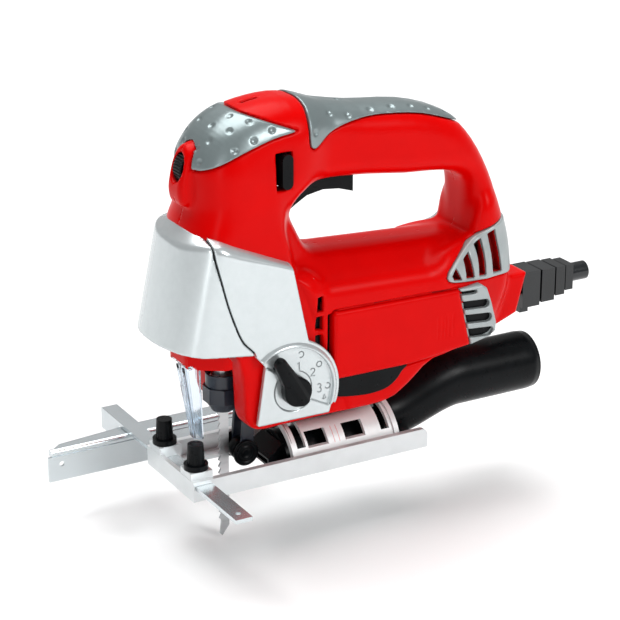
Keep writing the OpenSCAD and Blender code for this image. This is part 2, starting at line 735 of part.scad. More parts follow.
brush_x = fx(131);
module brush_holders() {
    color("#b08d4f") for (s = [-1, 1]) difference() {
        box(brush_x - 5, brush_x + 5, min(s * 13, s * (inner_half - seat)), max(s * 13, s * (inner_half - seat)),
            motor_z - 6, motor_z + 6);
        box(brush_x - 3.2, brush_x + 3.2, min(s * 12, s * 26), max(s * 12, s * 26), motor_z - 4.2, motor_z + 4.2);
    }
}
module carbon_brushes() {
    color("#303336") for (s = [-1, 1]) difference() {
        box(brush_x - 3, brush_x + 3, min(s * 9, s * 24), max(s * 9, s * 24), motor_z - 4, motor_z + 4);
        x_rod(brush_x - 4, brush_x + 4, 11.05, 0, motor_z);
    }
}

// ---------------------------------------------------------------- roller

cheek = 2.2;
module roller_fork() {
    color("#1b1e22") difference() {
        union() {
            for (s = [-1, 1]) hull() {
                translate([0, s * 5.4 - cheek / 2, 0]) {
                    y_rod(0, cheek, 3.6, roller_x + 1.2, roller_z + 0.5);
                    y_rod(0, cheek, 3.8, fork_x, fork_z);
                }
            }
            box(fork_x - 2, fork_x + 2.5, -6.5, 6.5, 25, 42);
        }
        y_rod(-9, 9, 2 + run, fork_x, fork_z);
        y_rod(-9, 9, 2, roller_x, roller_z);
        // clear of the roller
        y_rod(-4.3, 4.3, roller_r + 1, roller_x, roller_z);
    }
}

module guide_roller() {
    color("#2a2d31") difference() {
        y_rod(-4, 4, roller_r, roller_x, roller_z);
        y_rod(-5, 5, 2 + run, roller_x, roller_z);
    }
}

module roller_pin() { color("#a8adb1") y_rod(-6.5, 6.5, 2, roller_x, roller_z); }

module fork_pin() { color("#a8adb1") y_rod(-16.8, 16.8, 2, fork_x, fork_z); }

// ---------------------------------------------------------------- sole

module bevel_saddle() {
    color("#2a2d31") difference() {
        box(arch_x0 + 3.4, arch_x1 - 3.4, -9.4, 9.4, arch_r * 0.72, body_z - 0.1);
        x_rod(30, 110, arch_r + 0.3);
        for (x = bevel_screw_x) translate([x, 0, 0]) cylinder(r = 2.6, h = 60);
    }
}

sole_x0 = -sole_front;
sole_x1 = sole_l - sole_front;
module arm_slot(y0, y1) { box(arm_x0 - 0.15, arm_x0 + arm_w + 0.15, y0, y1, arm_z0 - 0.1, arm_z0 + arm_t + 0.1); }

module sole_plate() {
    color("#d5dadd") difference() {
        union() {
            box(sole_x0, sole_x1, -sole_w / 2, sole_w / 2, 0, sole_t);
            // rims along both sides and the front
            for (s = [0, 1]) mirror([0, s, 0]) {
                box(sole_x0, sole_x1, sole_w / 2 - rim_t, sole_w / 2, 0, rim_h);
            }
            box(sole_x0, sole_x0 + 2.6, -sole_w / 2, sole_w / 2, 0, rim_h);
            // two raised brackets for the guide arm
            for (s = [-1, 1]) box(sole_x0 + 0.2, arm_x0 + arm_w + 2, s * bracket_y - bracket_w / 2,
                s * bracket_y + bracket_w / 2, 0, bracket_z);
        }
        arm_slot(-sole_w, sole_w);
        // screw holes in the brackets
        for (s = [-1, 1]) translate([screw_x, s * bracket_y, arm_z0]) cylinder(r = 2.5, h = 20);
        // window round the blade and the roller, with a slot in front of it
        box(-14, 30, -17, 17, -1, sole_t + 1);
        box(-19, 0, -3, 3, -1, sole_t + 1);
        // back corners of the rims
        for (s = [-1, 1]) translate([sole_x1, s * (sole_w / 2), rim_h]) rotate([90, 0, 0]) difference() {
            translate([-4, -4, -5]) cube([8, 8, 10]);
            translate([-4, -4, -6]) cylinder(r = 4, h = 12);
        }
    }
}

screw_x = arm_x0 + arm_w / 2;

// Half-round arch on the sole: the body turns about its axis for bevel cuts.
module bevel_bracket() {
    color("#dfe4e6") difference() {
        union() {
            x_rod(arch_x0, arch_x1, arch_r);
            for (x = [arch_x0, arch_x1 - 3]) x_rod(x, x + 3, arch_r + 1.2);
        }
        x_rod(arch_x0 - 1, arch_x1 + 1, arch_r - arch_t);
        box(0, 200, -60, 60, -60, sole_t);
        // windows on both flanks
        for (s = [-1, 1], x = [42, 66]) box(x, x + 13, min(s * 12, s * 40), max(s * 12, s * 40), 13, 20.5);
        // arcs for the clamping screws
        for (x = bevel_screw_x) intersection() {
            box(x - 2.7, x + 2.7, -22, 22, 10, 40);
            x_rod(x - 3, x + 3, 40);
        }
        // clearance to the rims
        for (s = [0, 1]) mirror([0, s, 0]) box(0, 200, sole_w / 2 - rim_t, 60, -1, rim_h + 1);
    }
}

module bevel_screws() {
    color("#a8adb1") for (x = bevel_screw_x) translate([x, 0, 0]) {
        translate([0, 0, arch_r - arch_t - 3.3]) cylinder(r = 5, h = 3, $fn = 6);
        translate([0, 0, arch_r - arch_t - 1]) cylinder(r = 2.5, h = body_z + 8 - arch_r);
    }
}

duct_r = arch_r - arch_t - 6.5;
module dust_channel() {
    color("#15171a") difference() {
        union() {
            x_rod(arch_x0 + 1, arch_x1, duct_r);
            // shoe that reaches forward to the blade
            hull() {
                box(21.5, 22.5, -13, 13, sole_t, 7);
                box(arch_x0, arch_x0 + 2, -12, 12, sole_t, 14);
            }
        }
        box(0, 200, -60, 60, -60, sole_t);
        x_rod(arch_x0 + 3, arch_x1 + 1, duct_r - 1.6);
        hull() {
            box(20.5, 21.5, -11.5, 11.5, sole_t + 1.2, 5.6);
            box(arch_x0 + 3, arch_x0 + 5, -10, 10, sole_t + 1.4, 11);
        }
    }
}

tube_x0 = 101.2;
tube_x1 = 203.5;
module tube_outer(r, x0, x1) {
    hull() {
        x_rod(x0, x0 + 4, r * 0.86, 0, r * 0.74);
        x_rod(150, 154, r, 0, tube_z);
    }
    x_rod(150, x1, r, 0, tube_z);
}
module dust_tube() {
    color("#0d0f12") difference() {
        intersection() {
            tube_outer(tube_d / 2, tube_x0, tube_x1);
            box(0, 260, -60, 60, sole_t + 0.3, 120);
        }
        tube_outer(tube_d / 2 - tube_wall, tube_x0 - 3, tube_x1 + 3);
    }
}

// ---------------------------------------------------------------- rip guide

arm_y0 = -76;
module guide_arm() {
    color("#cfd5d8") difference() {
        union() {
            box(arm_x0, arm_x0 + arm_w, arm_y0, arm_y0 + arm_l, arm_z0, arm_z0 + arm_t);
            // turned-down front flange over the fence, deepest at the far end
            translate([arm_x0 + 2, 0, arm_z0 + 0.5]) rotate([0, -90, 0]) linear_extrude(2)
                polygon([[0, fence_y + 16], [0, arm_y0 + arm_l], [-11, arm_y0 + arm_l],
                    [-11, arm_y0 + arm_l - 6], [-6, fence_y + 20]]);
        }
        translate([arm_x0 + arm_w / 2, arm_y0 + 7, 0]) cylinder(r = 1.6, h = 30);
    }
}

// Fence: a plate with a rolled edge and a flange that tapers towards its nose.
module rip_fence() {
    color("#d9dee0") difference() {
        union() {
            box(fence_x0, fence_x0 + fence_l, fence_y, fence_y + 1.6, -12, 3);
            x_rod(fence_x0 + 2, fence_x0 + fence_l, 2.4, fence_y + 2.4, arm_z0 - 2.5);
            translate([0, 0, arm_z0 - 1.9]) linear_extrude(1.6) polygon([[fence_x0 + 4, fence_y + 3],
                [fence_x0 + fence_l, fence_y + 3], [fence_x0 + fence_l, fence_y + 14], [-20, fence_y + 14],
                [fence_x0 + 10, fence_y + 8]]);
        }
        y_rod(fence_y - 1, fence_y + 3, 1.6, fence_x0 + 8, -2);
        translate([arm_x0 + arm_w / 2, fence_y + 8, -20]) cylinder(r = 2, h = 60);
    }
}

module fence_bolt() {
    color("#a8adb1") translate([arm_x0 + arm_w / 2, fence_y + 8, 0]) {
        translate([0, 0, arm_z0 - 2.4 - 1.5]) cylinder(r = 3.4, h = 2, $fn = 6);
        translate([0, 0, arm_z0 - 3]) cylinder(r = 2, h = 3);
    }
}

module thumb_screw(s) {
    translate([screw_x, s * bracket_y, 0]) {
        translate([0, 0, arm_z0 + arm_t + 0.1]) cylinder(r = 2.5 - run, h = 8);
        translate([0, 0, bracket_z + 0.1]) cylinder(r = 6.8, h = 3);
        difference() {
            translate([0, 0, bracket_z + 3]) cylinder(r1 = 5, r2 = 4.4, h = 11.5);
            for (i = [0 : 15]) rotate([0, 0, 22.5 * i]) translate([4.6, -0.4, bracket_z + 4]) cube([2, 0.8, 20]);
        }
    }
}
module thumb_screw_left() { color("#15171a") thumb_screw(-1); }
module thumb_screw_right() { color("#15171a") thumb_screw(1); }

// ---------------------------------------------------------------- cord entry and screws

sleeve_z = fz(76.5);
sleeve_x = fx(193);
module cord_sleeve() {
    color("#15171a") translate([sleeve_x, 0, sleeve_z]) difference() {
        union() {
            x_rod(-10, 6, 7);
            box(1.2, 13.5, -8.5, 8.5, -13, 9);
            box(1.2, 7, -6, 6, -16.5, -12);
            box(14.8, 24, -8.5, 8.5, -11.6, 8.6);
            box(25.3, 31.7, -8, 8, -9.5, 8.3);
            box(33, 38.4, -7, 7, -7.8, 7.8);
            x_rod(8, 51, 5.6);
        }
        x_rod(-20, 60, 3.6);
    }
}

module cord_clamp() { color("#2a2d31") box(fx(170), fx(178), -9, 9, fz(65.2), fz(68.2)); }

module housing_screws() {
    color("#8d9296") for (b = boss_places) {
        y_rod(9.2, 12, 3.2, b[0], b[1]);
        y_rod(-6, 9.4, 1.5, b[0], b[1]);
    }
}

housing_left();
housing_right();
front_hood();
side_cover_left();
side_cover_right();
orbital_scale();
orbital_lever();
nose_cap();
handle_grip();
motor_panel_left();
motor_panel_right();
side_vent_left();
side_vent_right();
rear_grille_left();
rear_grille_right();
belly_trim_left();
belly_trim_right();
inner_shroud();
blade_guard();
trigger();
lock_button();
speed_dial();
switch_body();
speed_board();
gear_case();
gear_pin();
drive_gear();
counterweight();
plunger();
plunger_bushes();
blade();
blade_clamp();
clamp_spring();
armature_shaft();
rotor_core();
commutator();
cooling_fan();
stator();
field_coils();
shaft_bearings();
brush_holders();
carbon_brushes();
roller_fork();
fork_pin();
guide_roller();
roller_pin();
bevel_saddle();
sole_plate();
bevel_bracket();
bevel_screws();
dust_channel();
dust_tube();
guide_arm();
rip_fence();
fence_bolt();
thumb_screw_left();
thumb_screw_right();
cord_sleeve();
cord_clamp();
housing_screws();
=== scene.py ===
"""Looks of a jigsaw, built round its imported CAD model. Lengths are in millimetres until a mesh is made.

X runs back from the blade to the cord, -Y is the tool's left, Z is up from the sole's underside.
"""

import json
import math

import bpy
import numpy as np
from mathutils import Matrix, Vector


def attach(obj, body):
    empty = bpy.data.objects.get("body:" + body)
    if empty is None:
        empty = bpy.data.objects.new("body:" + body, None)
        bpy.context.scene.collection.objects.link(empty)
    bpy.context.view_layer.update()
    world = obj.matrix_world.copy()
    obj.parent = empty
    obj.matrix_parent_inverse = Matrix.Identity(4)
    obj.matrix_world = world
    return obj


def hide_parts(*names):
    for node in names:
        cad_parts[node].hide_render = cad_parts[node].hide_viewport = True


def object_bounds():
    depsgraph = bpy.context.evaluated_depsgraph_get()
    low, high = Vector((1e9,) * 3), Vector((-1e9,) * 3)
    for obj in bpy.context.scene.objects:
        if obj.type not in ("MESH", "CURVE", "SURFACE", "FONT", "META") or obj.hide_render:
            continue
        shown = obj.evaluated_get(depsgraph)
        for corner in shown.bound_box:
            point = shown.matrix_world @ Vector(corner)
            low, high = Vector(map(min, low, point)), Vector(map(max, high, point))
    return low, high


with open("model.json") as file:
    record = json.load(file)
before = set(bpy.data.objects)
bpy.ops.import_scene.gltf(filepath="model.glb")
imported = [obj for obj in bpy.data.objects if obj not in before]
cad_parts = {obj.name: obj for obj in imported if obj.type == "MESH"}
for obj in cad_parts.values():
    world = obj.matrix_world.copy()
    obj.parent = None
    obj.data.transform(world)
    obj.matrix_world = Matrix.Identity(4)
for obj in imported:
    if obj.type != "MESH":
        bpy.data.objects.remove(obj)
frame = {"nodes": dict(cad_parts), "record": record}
cad_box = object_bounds()
nodes = frame["nodes"]
MM = 0.001

# ---------------------------------------------------------------- materials


def shader(name, **sockets):
    """A new material and its Principled shader, with the named sockets set."""
    made = bpy.data.materials.new(name)
    made.use_nodes = True
    bsdf = made.node_tree.nodes["Principled BSDF"]
    for key, value in sockets.items():
        bsdf.inputs[key.replace("_", " ")].default_value = value
    return made, bsdf


def noise(tree, scale, detail=4.0, stretch=(1, 1, 1)):
    """Noise in the object's own space: scale is in waves a metre."""
    links, made = tree.links, tree.nodes
    place = made.new("ShaderNodeTexCoord")
    mapping = made.new("ShaderNodeMapping")
    mapping.inputs["Scale"].default_value = stretch
    wave = made.new("ShaderNodeTexNoise")
    wave.inputs["Scale"].default_value = scale
    wave.inputs["Detail"].default_value = detail
    links.new(place.outputs["Object"], mapping.inputs["Vector"])
    links.new(mapping.outputs["Vector"], wave.inputs["Vector"])
    return wave.outputs["Fac"]


def spread(tree, value, low, high):
    """Maps 0.3..0.7 of a noise onto low..high."""
    made = tree.nodes.new("ShaderNodeMapRange")
    made.inputs["From Min"].default_value = 0.3
    made.inputs["From Max"].default_value = 0.7
    made.inputs["To Min"].default_value = low
    made.inputs["To Max"].default_value = high
    tree.links.new(value, made.inputs["Value"])
    return made.outputs["Result"]


def bump(tree, bsdf, value, strength, depth):
    """Raises the surface by a noise, depth in millimetres."""
    made = tree.nodes.new("ShaderNodeBump")
    made.inputs["Strength"].default_value = strength
    made.inputs["Distance"].default_value = depth * MM
    tree.links.new(value, made.inputs["Height"])
    tree.links.new(made.outputs["Normal"], bsdf.inputs["Normal"])


def tint(tree, bsdf, value, dark, light):
    """Lets a noise carry the base colour from dark to light."""
    made = tree.nodes.new("ShaderNodeMix")
    made.data_type = "RGBA"
    made.inputs["A"].default_value = (*dark, 1)
    made.inputs["B"].default_value = (*light, 1)
    tree.links.new(spread(tree, value, 0, 1), made.inputs["Factor"])
    tree.links.new(made.outputs["Result"], bsdf.inputs["Base Color"])


def surface(name, dark, light, rough, grain=(900, 0.05, 0.02), mottle=60, stretch=(1, 1, 1), **sockets):
    """A finish with a mottled colour, an uneven gloss and a fine grain (waves a metre, strength, depth)."""
    made, bsdf = shader(name, **sockets)
    tree = made.node_tree
    tint(tree, bsdf, noise(tree, mottle, stretch=stretch), dark, light)
    tree.links.new(spread(tree, noise(tree, mottle * 4, 6, stretch), *rough), bsdf.inputs["Roughness"])
    bump(tree, bsdf, noise(tree, grain[0], 3, stretch), grain[1], grain[2])
    return made


RED = surface("red_shell", (0.61, 0.0, 0.0), (0.65, 0.0, 0.0), (0.28, 0.33), (2600, 0.08, 0.015),
              IOR=1.46, Specular_IOR_Level=0.08)
# painted shade: a darker red for the casing's inside and recesses, where shade falls
SHADE_RED = surface("red_painted_shade", (0.30, 0.0, 0.001), (0.36, 0.001, 0.001), (0.5, 0.6), (2600, 0.10, 0.02),
                   Specular_IOR_Level=0.2)
SILVER = surface("silver_shell", (0.55, 0.595, 0.605), (0.58, 0.625, 0.635), (0.22, 0.26), (5200, 0.04, 0.006),
                 240, Metallic=0.65, Specular_IOR_Level=0.4)
SILVER_TRIM = surface("silver_trim", (0.33, 0.365, 0.37), (0.36, 0.395, 0.40), (0.36, 0.42), (5200, 0.05, 0.01),
                      240, Metallic=0.3)
GRIP = surface("soft_grip", (0.21, 0.255, 0.26), (0.23, 0.275, 0.28), (0.30, 0.35), (3600, 0.08, 0.012), 120,
               Metallic=0.6, Specular_IOR_Level=0.4)
BLACK = surface("black_plastic", (0.002, 0.0025, 0.003), (0.004, 0.005, 0.006), (0.26, 0.34), (3000, 0.12, 0.02),
                Specular_IOR_Level=0.1)
RUBBER = surface("cord_rubber", (0.003, 0.004, 0.005), (0.007, 0.009, 0.011), (0.16, 0.22), (2500, 0.1, 0.02),
                 Specular_IOR_Level=0.5)
STEEL = surface("turned_steel", (0.50, 0.51, 0.52), (0.60, 0.61, 0.62), (0.22, 0.34), (4000, 0.15, 0.01), 80,
                Metallic=1.0)
SHEET = surface("plated_sheet", (0.66, 0.69, 0.70), (0.71, 0.74, 0.75), (0.30, 0.38), (3600, 0.05, 0.005), 90,
                Metallic=0.35)
CHROME = surface("bright_plating", (0.60, 0.65, 0.67), (0.63, 0.68, 0.70), (0.24, 0.26), (2200, 0.02, 0.004), 60,
                 Metallic=0.8)
ENAMEL = surface("arch_enamel", (0.72, 0.745, 0.75), (0.77, 0.795, 0.80), (0.32, 0.40), (3600, 0.05, 0.005), 90,
                 Metallic=0.1, Specular_IOR_Level=0.35)
BLADE = surface("blade_steel", (0.46, 0.47, 0.48), (0.56, 0.57, 0.58), (0.28, 0.4), (1500, 0.3, 0.01), 300,
                (0.08, 1, 1), Metallic=1.0)
CLAMP = surface("blued_metal", (0.010, 0.015, 0.026), (0.018, 0.024, 0.038), (0.3, 0.42), (2500, 0.15, 0.02))
ALLOY = surface("cast_alloy", (0.42, 0.43, 0.44), (0.52, 0.53, 0.54), (0.4, 0.55), (1400, 0.5, 0.06),
                Metallic=1.0)
BRONZE = surface("bronze", (0.42, 0.28, 0.11), (0.52, 0.36, 0.16), (0.25, 0.4), (2600, 0.2, 0.02), Metallic=1.0)
COPPER = surface("copper", (0.50, 0.20, 0.09), (0.62, 0.27, 0.13), (0.25, 0.38), (900, 0.6, 0.08), 200,
                 (0.1, 1, 1), Metallic=1.0)
IRON = surface("laminations", (0.10, 0.10, 0.11), (0.16, 0.16, 0.17), (0.4, 0.55), (1800, 0.7, 0.06), 300,
               (1, 0.02, 0.02), Metallic=0.8)
BOARD = surface("circuit_board", (0.01, 0.12, 0.04), (0.02, 0.18, 0.06), (0.3, 0.45), (2000, 0.3, 0.03))
CARBON = surface("carbon", (0.012, 0.012, 0.013), (0.03, 0.03, 0.032), (0.5, 0.7), (1800, 0.5, 0.05))
INK = surface("printed_mark", (0.10, 0.115, 0.12), (0.13, 0.145, 0.15), (0.5, 0.6))
RED_INK = surface("printed_red", (0.65, 0.03, 0.03), (0.72, 0.05, 0.05), (0.5, 0.6))
CLEAR, clear_bsdf = shader("clear_guard", Base_Color=(0.76, 0.84, 0.91, 1), Roughness=0.08, IOR=1.46,
                           Transmission_Weight=1.0)
bump(CLEAR.node_tree, clear_bsdf, noise(CLEAR.node_tree, 30), 0.06, 0.3)

FINISH = {
    "red_plastic": RED, "silver_plastic": SILVER, "soft_grip": GRIP, "black_plastic": BLACK,
    "clear_plastic": CLEAR, "steel": STEEL, "white_sheet": SHEET, "clamp_metal": CLAMP, "blade_steel": BLADE,
    "cast_alloy": ALLOY, "bronze": BRONZE, "copper": COPPER, "lamination": IRON, "board_green": BOARD,
    "carbon": CARBON, "cord_rubber": RUBBER,
}
slot_of = {row["node"]: row["material_slot"] for row in frame["record"]["subparts"]}


def ease_edges(node, width):
    """Rounds a mesh's sharp edges by width millimetres, for the light to catch."""
    rounded = node.modifiers.new("edges", "BEVEL")
    rounded.width = width * MM
    rounded.segments = 2
    rounded.limit_method = "ANGLE"
    rounded.angle_limit = math.radians(35)
    rounded.harden_normals = True
    node.data.shade_smooth()


for name, node in nodes.items():
    node.data.materials.clear()
    node.data.materials.append(FINISH[slot_of[name]])
for name, material in (("guide_arm", CHROME), ("rip_fence", CHROME), ("bevel_bracket", ENAMEL)):
    nodes[name].data.materials.clear()
    nodes[name].data.materials.append(material)
EASED = {"sole_plate": 0.5, "bevel_bracket": 0.4, "guide_arm": 0.35, "rip_fence": 0.3, "thumb_screw_left": 0.3,
         "thumb_screw_right": 0.3, "blade_clamp": 0.6, "roller_fork": 0.5, "guide_roller": 0.5, "trigger": 1.2,
         "bevel_saddle": 0.6, "dust_channel": 0.4, "blade": 0.12, "cord_sleeve": 1.1, "lock_button": 0.8,
         "speed_dial": 0.3, "inner_shroud": 0.5, "belly_trim_left": 0.4, "belly_trim_right": 0.4}
for name, width in EASED.items():
    ease_edges(nodes[name], width)

# ---------------------------------------------------------------- making meshes


def crease_seam(made):
    """Keeps the shading of an outside apart from the flat wall at the middle plane."""
    flat = [abs(v.co.y) < 0.12 * MM for v in made.data.vertices]
    sharp = [flat[e.vertices[0]] and flat[e.vertices[1]] for e in made.data.edges]
    made.data.edges.foreach_set("use_edge_sharp", sharp)


def piece(name, verts, faces, material, body, stands_for=(), slot=None, smooth=True):
    """A mesh piece from millimetre points, riding on a body and standing for CAD nodes."""
    mesh = bpy.data.meshes.new(name)
    mesh.from_pydata((np.asarray(verts, float) * MM).tolist(), [], [list(map(int, f)) for f in faces])
    mesh.validate()
    mesh.update()
    made = bpy.data.objects.new(name, mesh)
    bpy.context.scene.collection.objects.link(made)
    mesh.materials.append(material)
    if smooth:
        mesh.shade_smooth()
    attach(made, body)
    if stands_for:
        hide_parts(*stands_for)
    return made


def spline(points, n=3):
    """Closed Catmull-Rom curve through the points."""
    p = np.asarray(points, float)
    a, b, c, d = np.roll(p, 1, 0), p, np.roll(p, -1, 0), np.roll(p, -2, 0)
    steps = [0.5 * (2 * b + (c - a) * t + (2 * a - 5 * b + 4 * c - d) * t**2 + (3 * b - a - 3 * c + d) * t**3)
             for t in np.arange(n) / n]
    return np.stack(steps, 1).reshape(-1, 2)


def flow(x, xs, ys):
    """Smooth curve through the values ys at xs, level beyond both ends."""
    xs, ys = np.asarray(xs, float), np.asarray(ys, float)
    slope = np.gradient(ys, xs)
    slope[[0, -1]] = 0
    x = np.clip(x, xs[0], xs[-1])
    i = np.clip(np.searchsorted(xs, x) - 1, 0, len(xs) - 2)
    h = xs[i + 1] - xs[i]
    t = (x - xs[i]) / h
    return (ys[i] * (2 * t**3 - 3 * t**2 + 1) + slope[i] * h * (t**3 - 2 * t**2 + t)
            + ys[i + 1] * (3 * t**2 - 2 * t**3) + slope[i + 1] * h * (t**3 - t**2))


def exact_outline(x, z, points):
    """Signed distance from a closed outline in the XZ plane, negative inside."""
    best = np.full(np.broadcast(x, z).shape, 1e9)
    inside = np.zeros(best.shape, bool)
    for (x0, z0), (x1, z1) in zip(points, np.roll(points, -1, 0)):
        ex, ez = x1 - x0, z1 - z0
        wx, wz = x - x0, z - z0
        t = np.clip((wx * ex + wz * ez) / (ex * ex + ez * ez + 1e-12), 0, 1)
        best = np.minimum(best, (wx - ex * t) ** 2 + (wz - ez * t) ** 2)
        crossing = (z0 > z) != (z1 > z)
        inside ^= crossing & (x < (x1 - x0) * (z - z0) / (z1 - z0 + 1e-12) + x0)
    return np.where(inside, -1, 1) * np.sqrt(best)


CELL = 0.4
tables = {}


def outline(x, z, points):
    """The same distance, read from a table worked out once for each outline."""
    if id(points) not in tables:
        low = points.min(0) - 12
        count = np.ceil((points.max(0) + 12 - low) / CELL).astype(int) + 1
        gx, gz = [low[k] + CELL * np.arange(count[k]) for k in (0, 1)]
        tables[id(points)] = (low, count, exact_outline(gx[:, None], gz[None, :], points), points)
    low, count, table, _ = tables[id(points)]
    u, w = (x - low[0]) / CELL, (z - low[1]) / CELL
    cu, cw = np.clip(u, 0, count[0] - 1.001), np.clip(w, 0, count[1] - 1.001)
    i, k = cu.astype(int), cw.astype(int)
    fu, fw = cu - i, cw - k
    near = ((1 - fu) * ((1 - fw) * table[i, k] + fw * table[i, k + 1])
            + fu * ((1 - fw) * table[i + 1, k] + fw * table[i + 1, k + 1]))
    return near + CELL * np.sqrt((u - cu) ** 2 + (w - cw) ** 2)


def join(a, b, k):
    """Union of two solids with a fillet of about k."""
    h = np.maximum(k - np.abs(a - b), 0)
    return np.minimum(a, b) - h * h / (4 * k)


def meet(a, b, k):
    """Intersection of two solids with its edge rounded by about k."""
    h = np.maximum(k - np.abs(a - b), 0)
    return np.maximum(a, b) + h * h / (4 * k)


def pillow(d, a, half, rd, ry, p=2.2):
    """Slab of an outline at distance d: half wide, rounded rd in from its edge and ry in from its face."""
    u, v = d / rd + 1, (a - half) / ry + 1
    rim = (np.maximum(u, 0) ** p + np.maximum(v, 0) ** p) ** (1 / p)
    return (np.minimum(np.maximum(u, v), 0) + rim - 1) * min(rd, ry)


def block(x, a, z, x0, x1, half, z0, z1):
    """Box with its faces at those places, from the middle plane out to half."""
    return np.maximum(np.maximum(np.maximum(x0 - x, x - x1), a - half), np.maximum(z0 - z, z - z1))


def nets(field, low, high, step):
    """Quads of the surface where field is 0, inside a box: naive surface nets, then moved onto the surface."""
    axes = [np.arange(lo, hi + step, step) for lo, hi in zip(low, high)]
    x, y, z = axes[0][:, None, None], axes[1][None, :, None], axes[2][None, None, :]
    value = np.broadcast_to(field(x, y, z), [len(a) for a in axes]).astype(np.float32)
    shape = np.array(value.shape) - 1
    corners = [(i, j, k) for i in (0, 1) for j in (0, 1) for k in (0, 1)]
    part = {c: value[c[0]:shape[0] + c[0], c[1]:shape[1] + c[1], c[2]:shape[2] + c[2]] for c in corners}
    below = sum((part[c] < 0).astype(np.int8) for c in corners)
    cells = np.argwhere((below > 0) & (below < 8))
    at = {c: part[c][tuple(cells.T)] for c in corners}
    total, count = np.zeros((len(cells), 3)), np.zeros(len(cells))
    for c in corners:
        for axis in range(3):
            if c[axis]:
                continue
            e = tuple(1 if k == axis else c[k] for k in range(3))
            hit = (at[c] < 0) != (at[e] < 0)
            t = np.where(hit, at[c] / np.where(hit, at[c] - at[e], 1), 0)
            p = np.tile(np.array(c, float), (len(cells), 1))
            p[:, axis] += t
            total += p * hit[:, None]
            count += hit
    verts = (cells + total / count[:, None]) * step + np.array([a[0] for a in axes])
    index = np.full(shape, -1, np.int64)
    index[tuple(cells.T)] = np.arange(len(cells))
    faces = []
    for axis in range(3):
        u, w = [k for k in range(3) if k != axis]
        first = [slice(None)] * 3
        second = [slice(None)] * 3
        first[axis], second[axis] = slice(0, -1), slice(1, None)
        lo, hi = value[tuple(first)] < 0, value[tuple(second)] < 0
        edge = np.argwhere(lo != hi)
        edge = edge[(edge[:, u] > 0) & (edge[:, w] > 0) & (edge[:, u] < shape[u]) & (edge[:, w] < shape[w])]
        flip = lo[tuple(edge.T)] ^ (axis == 1)
        ring = []
        for du, dw in ((-1, -1), (0, -1), (0, 0), (-1, 0)):
            cell = edge.copy()
            cell[:, u] += du
            cell[:, w] += dw
            ring.append(index[tuple(cell.T)])
        quad = np.stack(ring, 1)
        quad[~flip] = quad[~flip][:, ::-1]
        faces.append(quad)
    faces = np.concatenate(faces)
    faces = faces[(faces >= 0).all(1)]
    for _ in range(3):
        verts = settle(field, verts, 0.6 * step)
    return verts, faces


def settle(field, p, most):
    """Moves points along the field's slope onto its surface, by no more than most."""
    e = 0.05
    here = field(*p.T)
    slope = np.stack([(field(*(p + e * axis).T) - field(*(p - e * axis).T)) / (2 * e) for axis in np.eye(3)], 1)
    size = np.maximum((slope**2).sum(1), 0.05)
    move = -(here / size)[:, None] * slope
    length = np.maximum(np.linalg.norm(move, axis=1), 1e-9)
    return p + move * np.minimum(1, most / length)[:, None]


def mirrored(verts, faces):
    """The same mesh on the other side of the middle plane."""
    return verts * [1, -1, 1], [face[::-1] for face in faces]


STEP = 0.9

# ---------------------------------------------------------------- the casing's shape

HANDLE = spline([[-10, 160], [-8, 180], [-4, 195], [4, 203], [16, 208.5], [34, 210.8], [52, 208.3], [80, 202.8],
                 [113, 199], [136.5, 191.3], [150.5, 180], [162.6, 162], [172, 139.5], [176.6, 116], [178.5, 92],
                 [172, 78], [150, 74], [60, 88], [0, 105], [-10, 128]])
HEAD = spline([[-17, 160], [-19.5, 170], [-19.5, 180], [-17.5, 189], [-13, 197.5], [-6, 203.5], [3, 207.8],
               [16, 210.2], [34, 211], [46, 207.5], [53, 198], [53, 180], [46, 160], [20, 142], [-10, 142]])
LOWER = spline([[-13, 147], [-15.5, 118], [-15, 95], [-10, 86], [-5.5, 78], [-3, 68], [-2.2, 55], [-1.5, 44],
                [2, 37], [9, 34.6], [22, 34.8], [50, 34.9], [86, 35.2], [102, 43], [118, 54.5], [148, 59],
                [158, 66], [168, 80], [171, 96], [167, 118], [156, 134], [110, 134], [60, 134], [40, 146],
                [10, 158]])
REAR = spline([[118, 62], [148, 60], [167, 61], [173, 70], [177, 88], [175.5, 108], [171.5, 124], [164, 138],
               [154, 139], [140, 126], [120, 110]])
OPENING = spline([[46.9, 128.8], [55.4, 125.2], [71.5, 124], [103, 122.3], [135, 120.7], [146.5, 120.6],
                  [149.8, 124.5], [150.5, 139], [149, 150.5], [143.5, 155.5], [134, 157.8], [123.6, 158.9],
                  [109, 159.9], [98, 161.3], [79, 163.5], [55, 164.5], [41, 159], [36.2, 151], [40.4, 139.7]], 4)
RIB = spline([[-10, 193.4], [-17, 193.6], [-21.3, 191.6], [-24.6, 183], [-26.8, 174], [-27.4, 168], [-26, 162],
              [-22, 160.3], [-14, 161], [-10, 168]])
BOX = np.array([[140, 60.5], [171, 60.5], [184.5, 65.5], [191, 89.5], [140, 89.5]])
CAP = spline([[-30, 184], [-27, 200], [-14, 211], [-1, 211.4], [7.2, 209.2], [18.3, 205.2], [31, 200.2],
              [32.6, 198.6], [17.9, 196.3], [0.2, 190.9], [-12.2, 185.2], [-17, 182.8], [-21, 181.4]])
GRIP_LINE = spline([[42.3, 208], [46, 216], [80, 212], [113, 207], [136, 200], [149, 190], [151.8, 182.6],
                    [147, 184], [135, 188.7], [117.7, 194.1], [99.3, 196.8], [81.8, 197.6], [66.7, 196.2],
                    [56.4, 193.1], [47.5, 187.9], [43.4, 187.4], [41.2, 190.5], [41, 199]], 4)
PANEL = np.array([[52.6, 95.8], [51.4, 94.2], [51.4, 58.4], [53.6, 56.2], [102, 55.8], [141.2, 59.8],
                  [133, 94.5]])
VENT = np.array([[133.2, 94.7], [148.5, 94.6], [151.5, 92.4], [154.6, 84.2], [158.5, 70.6], [158.2, 65.6],
                 [154.9, 62.7], [141.4, 59.9]])
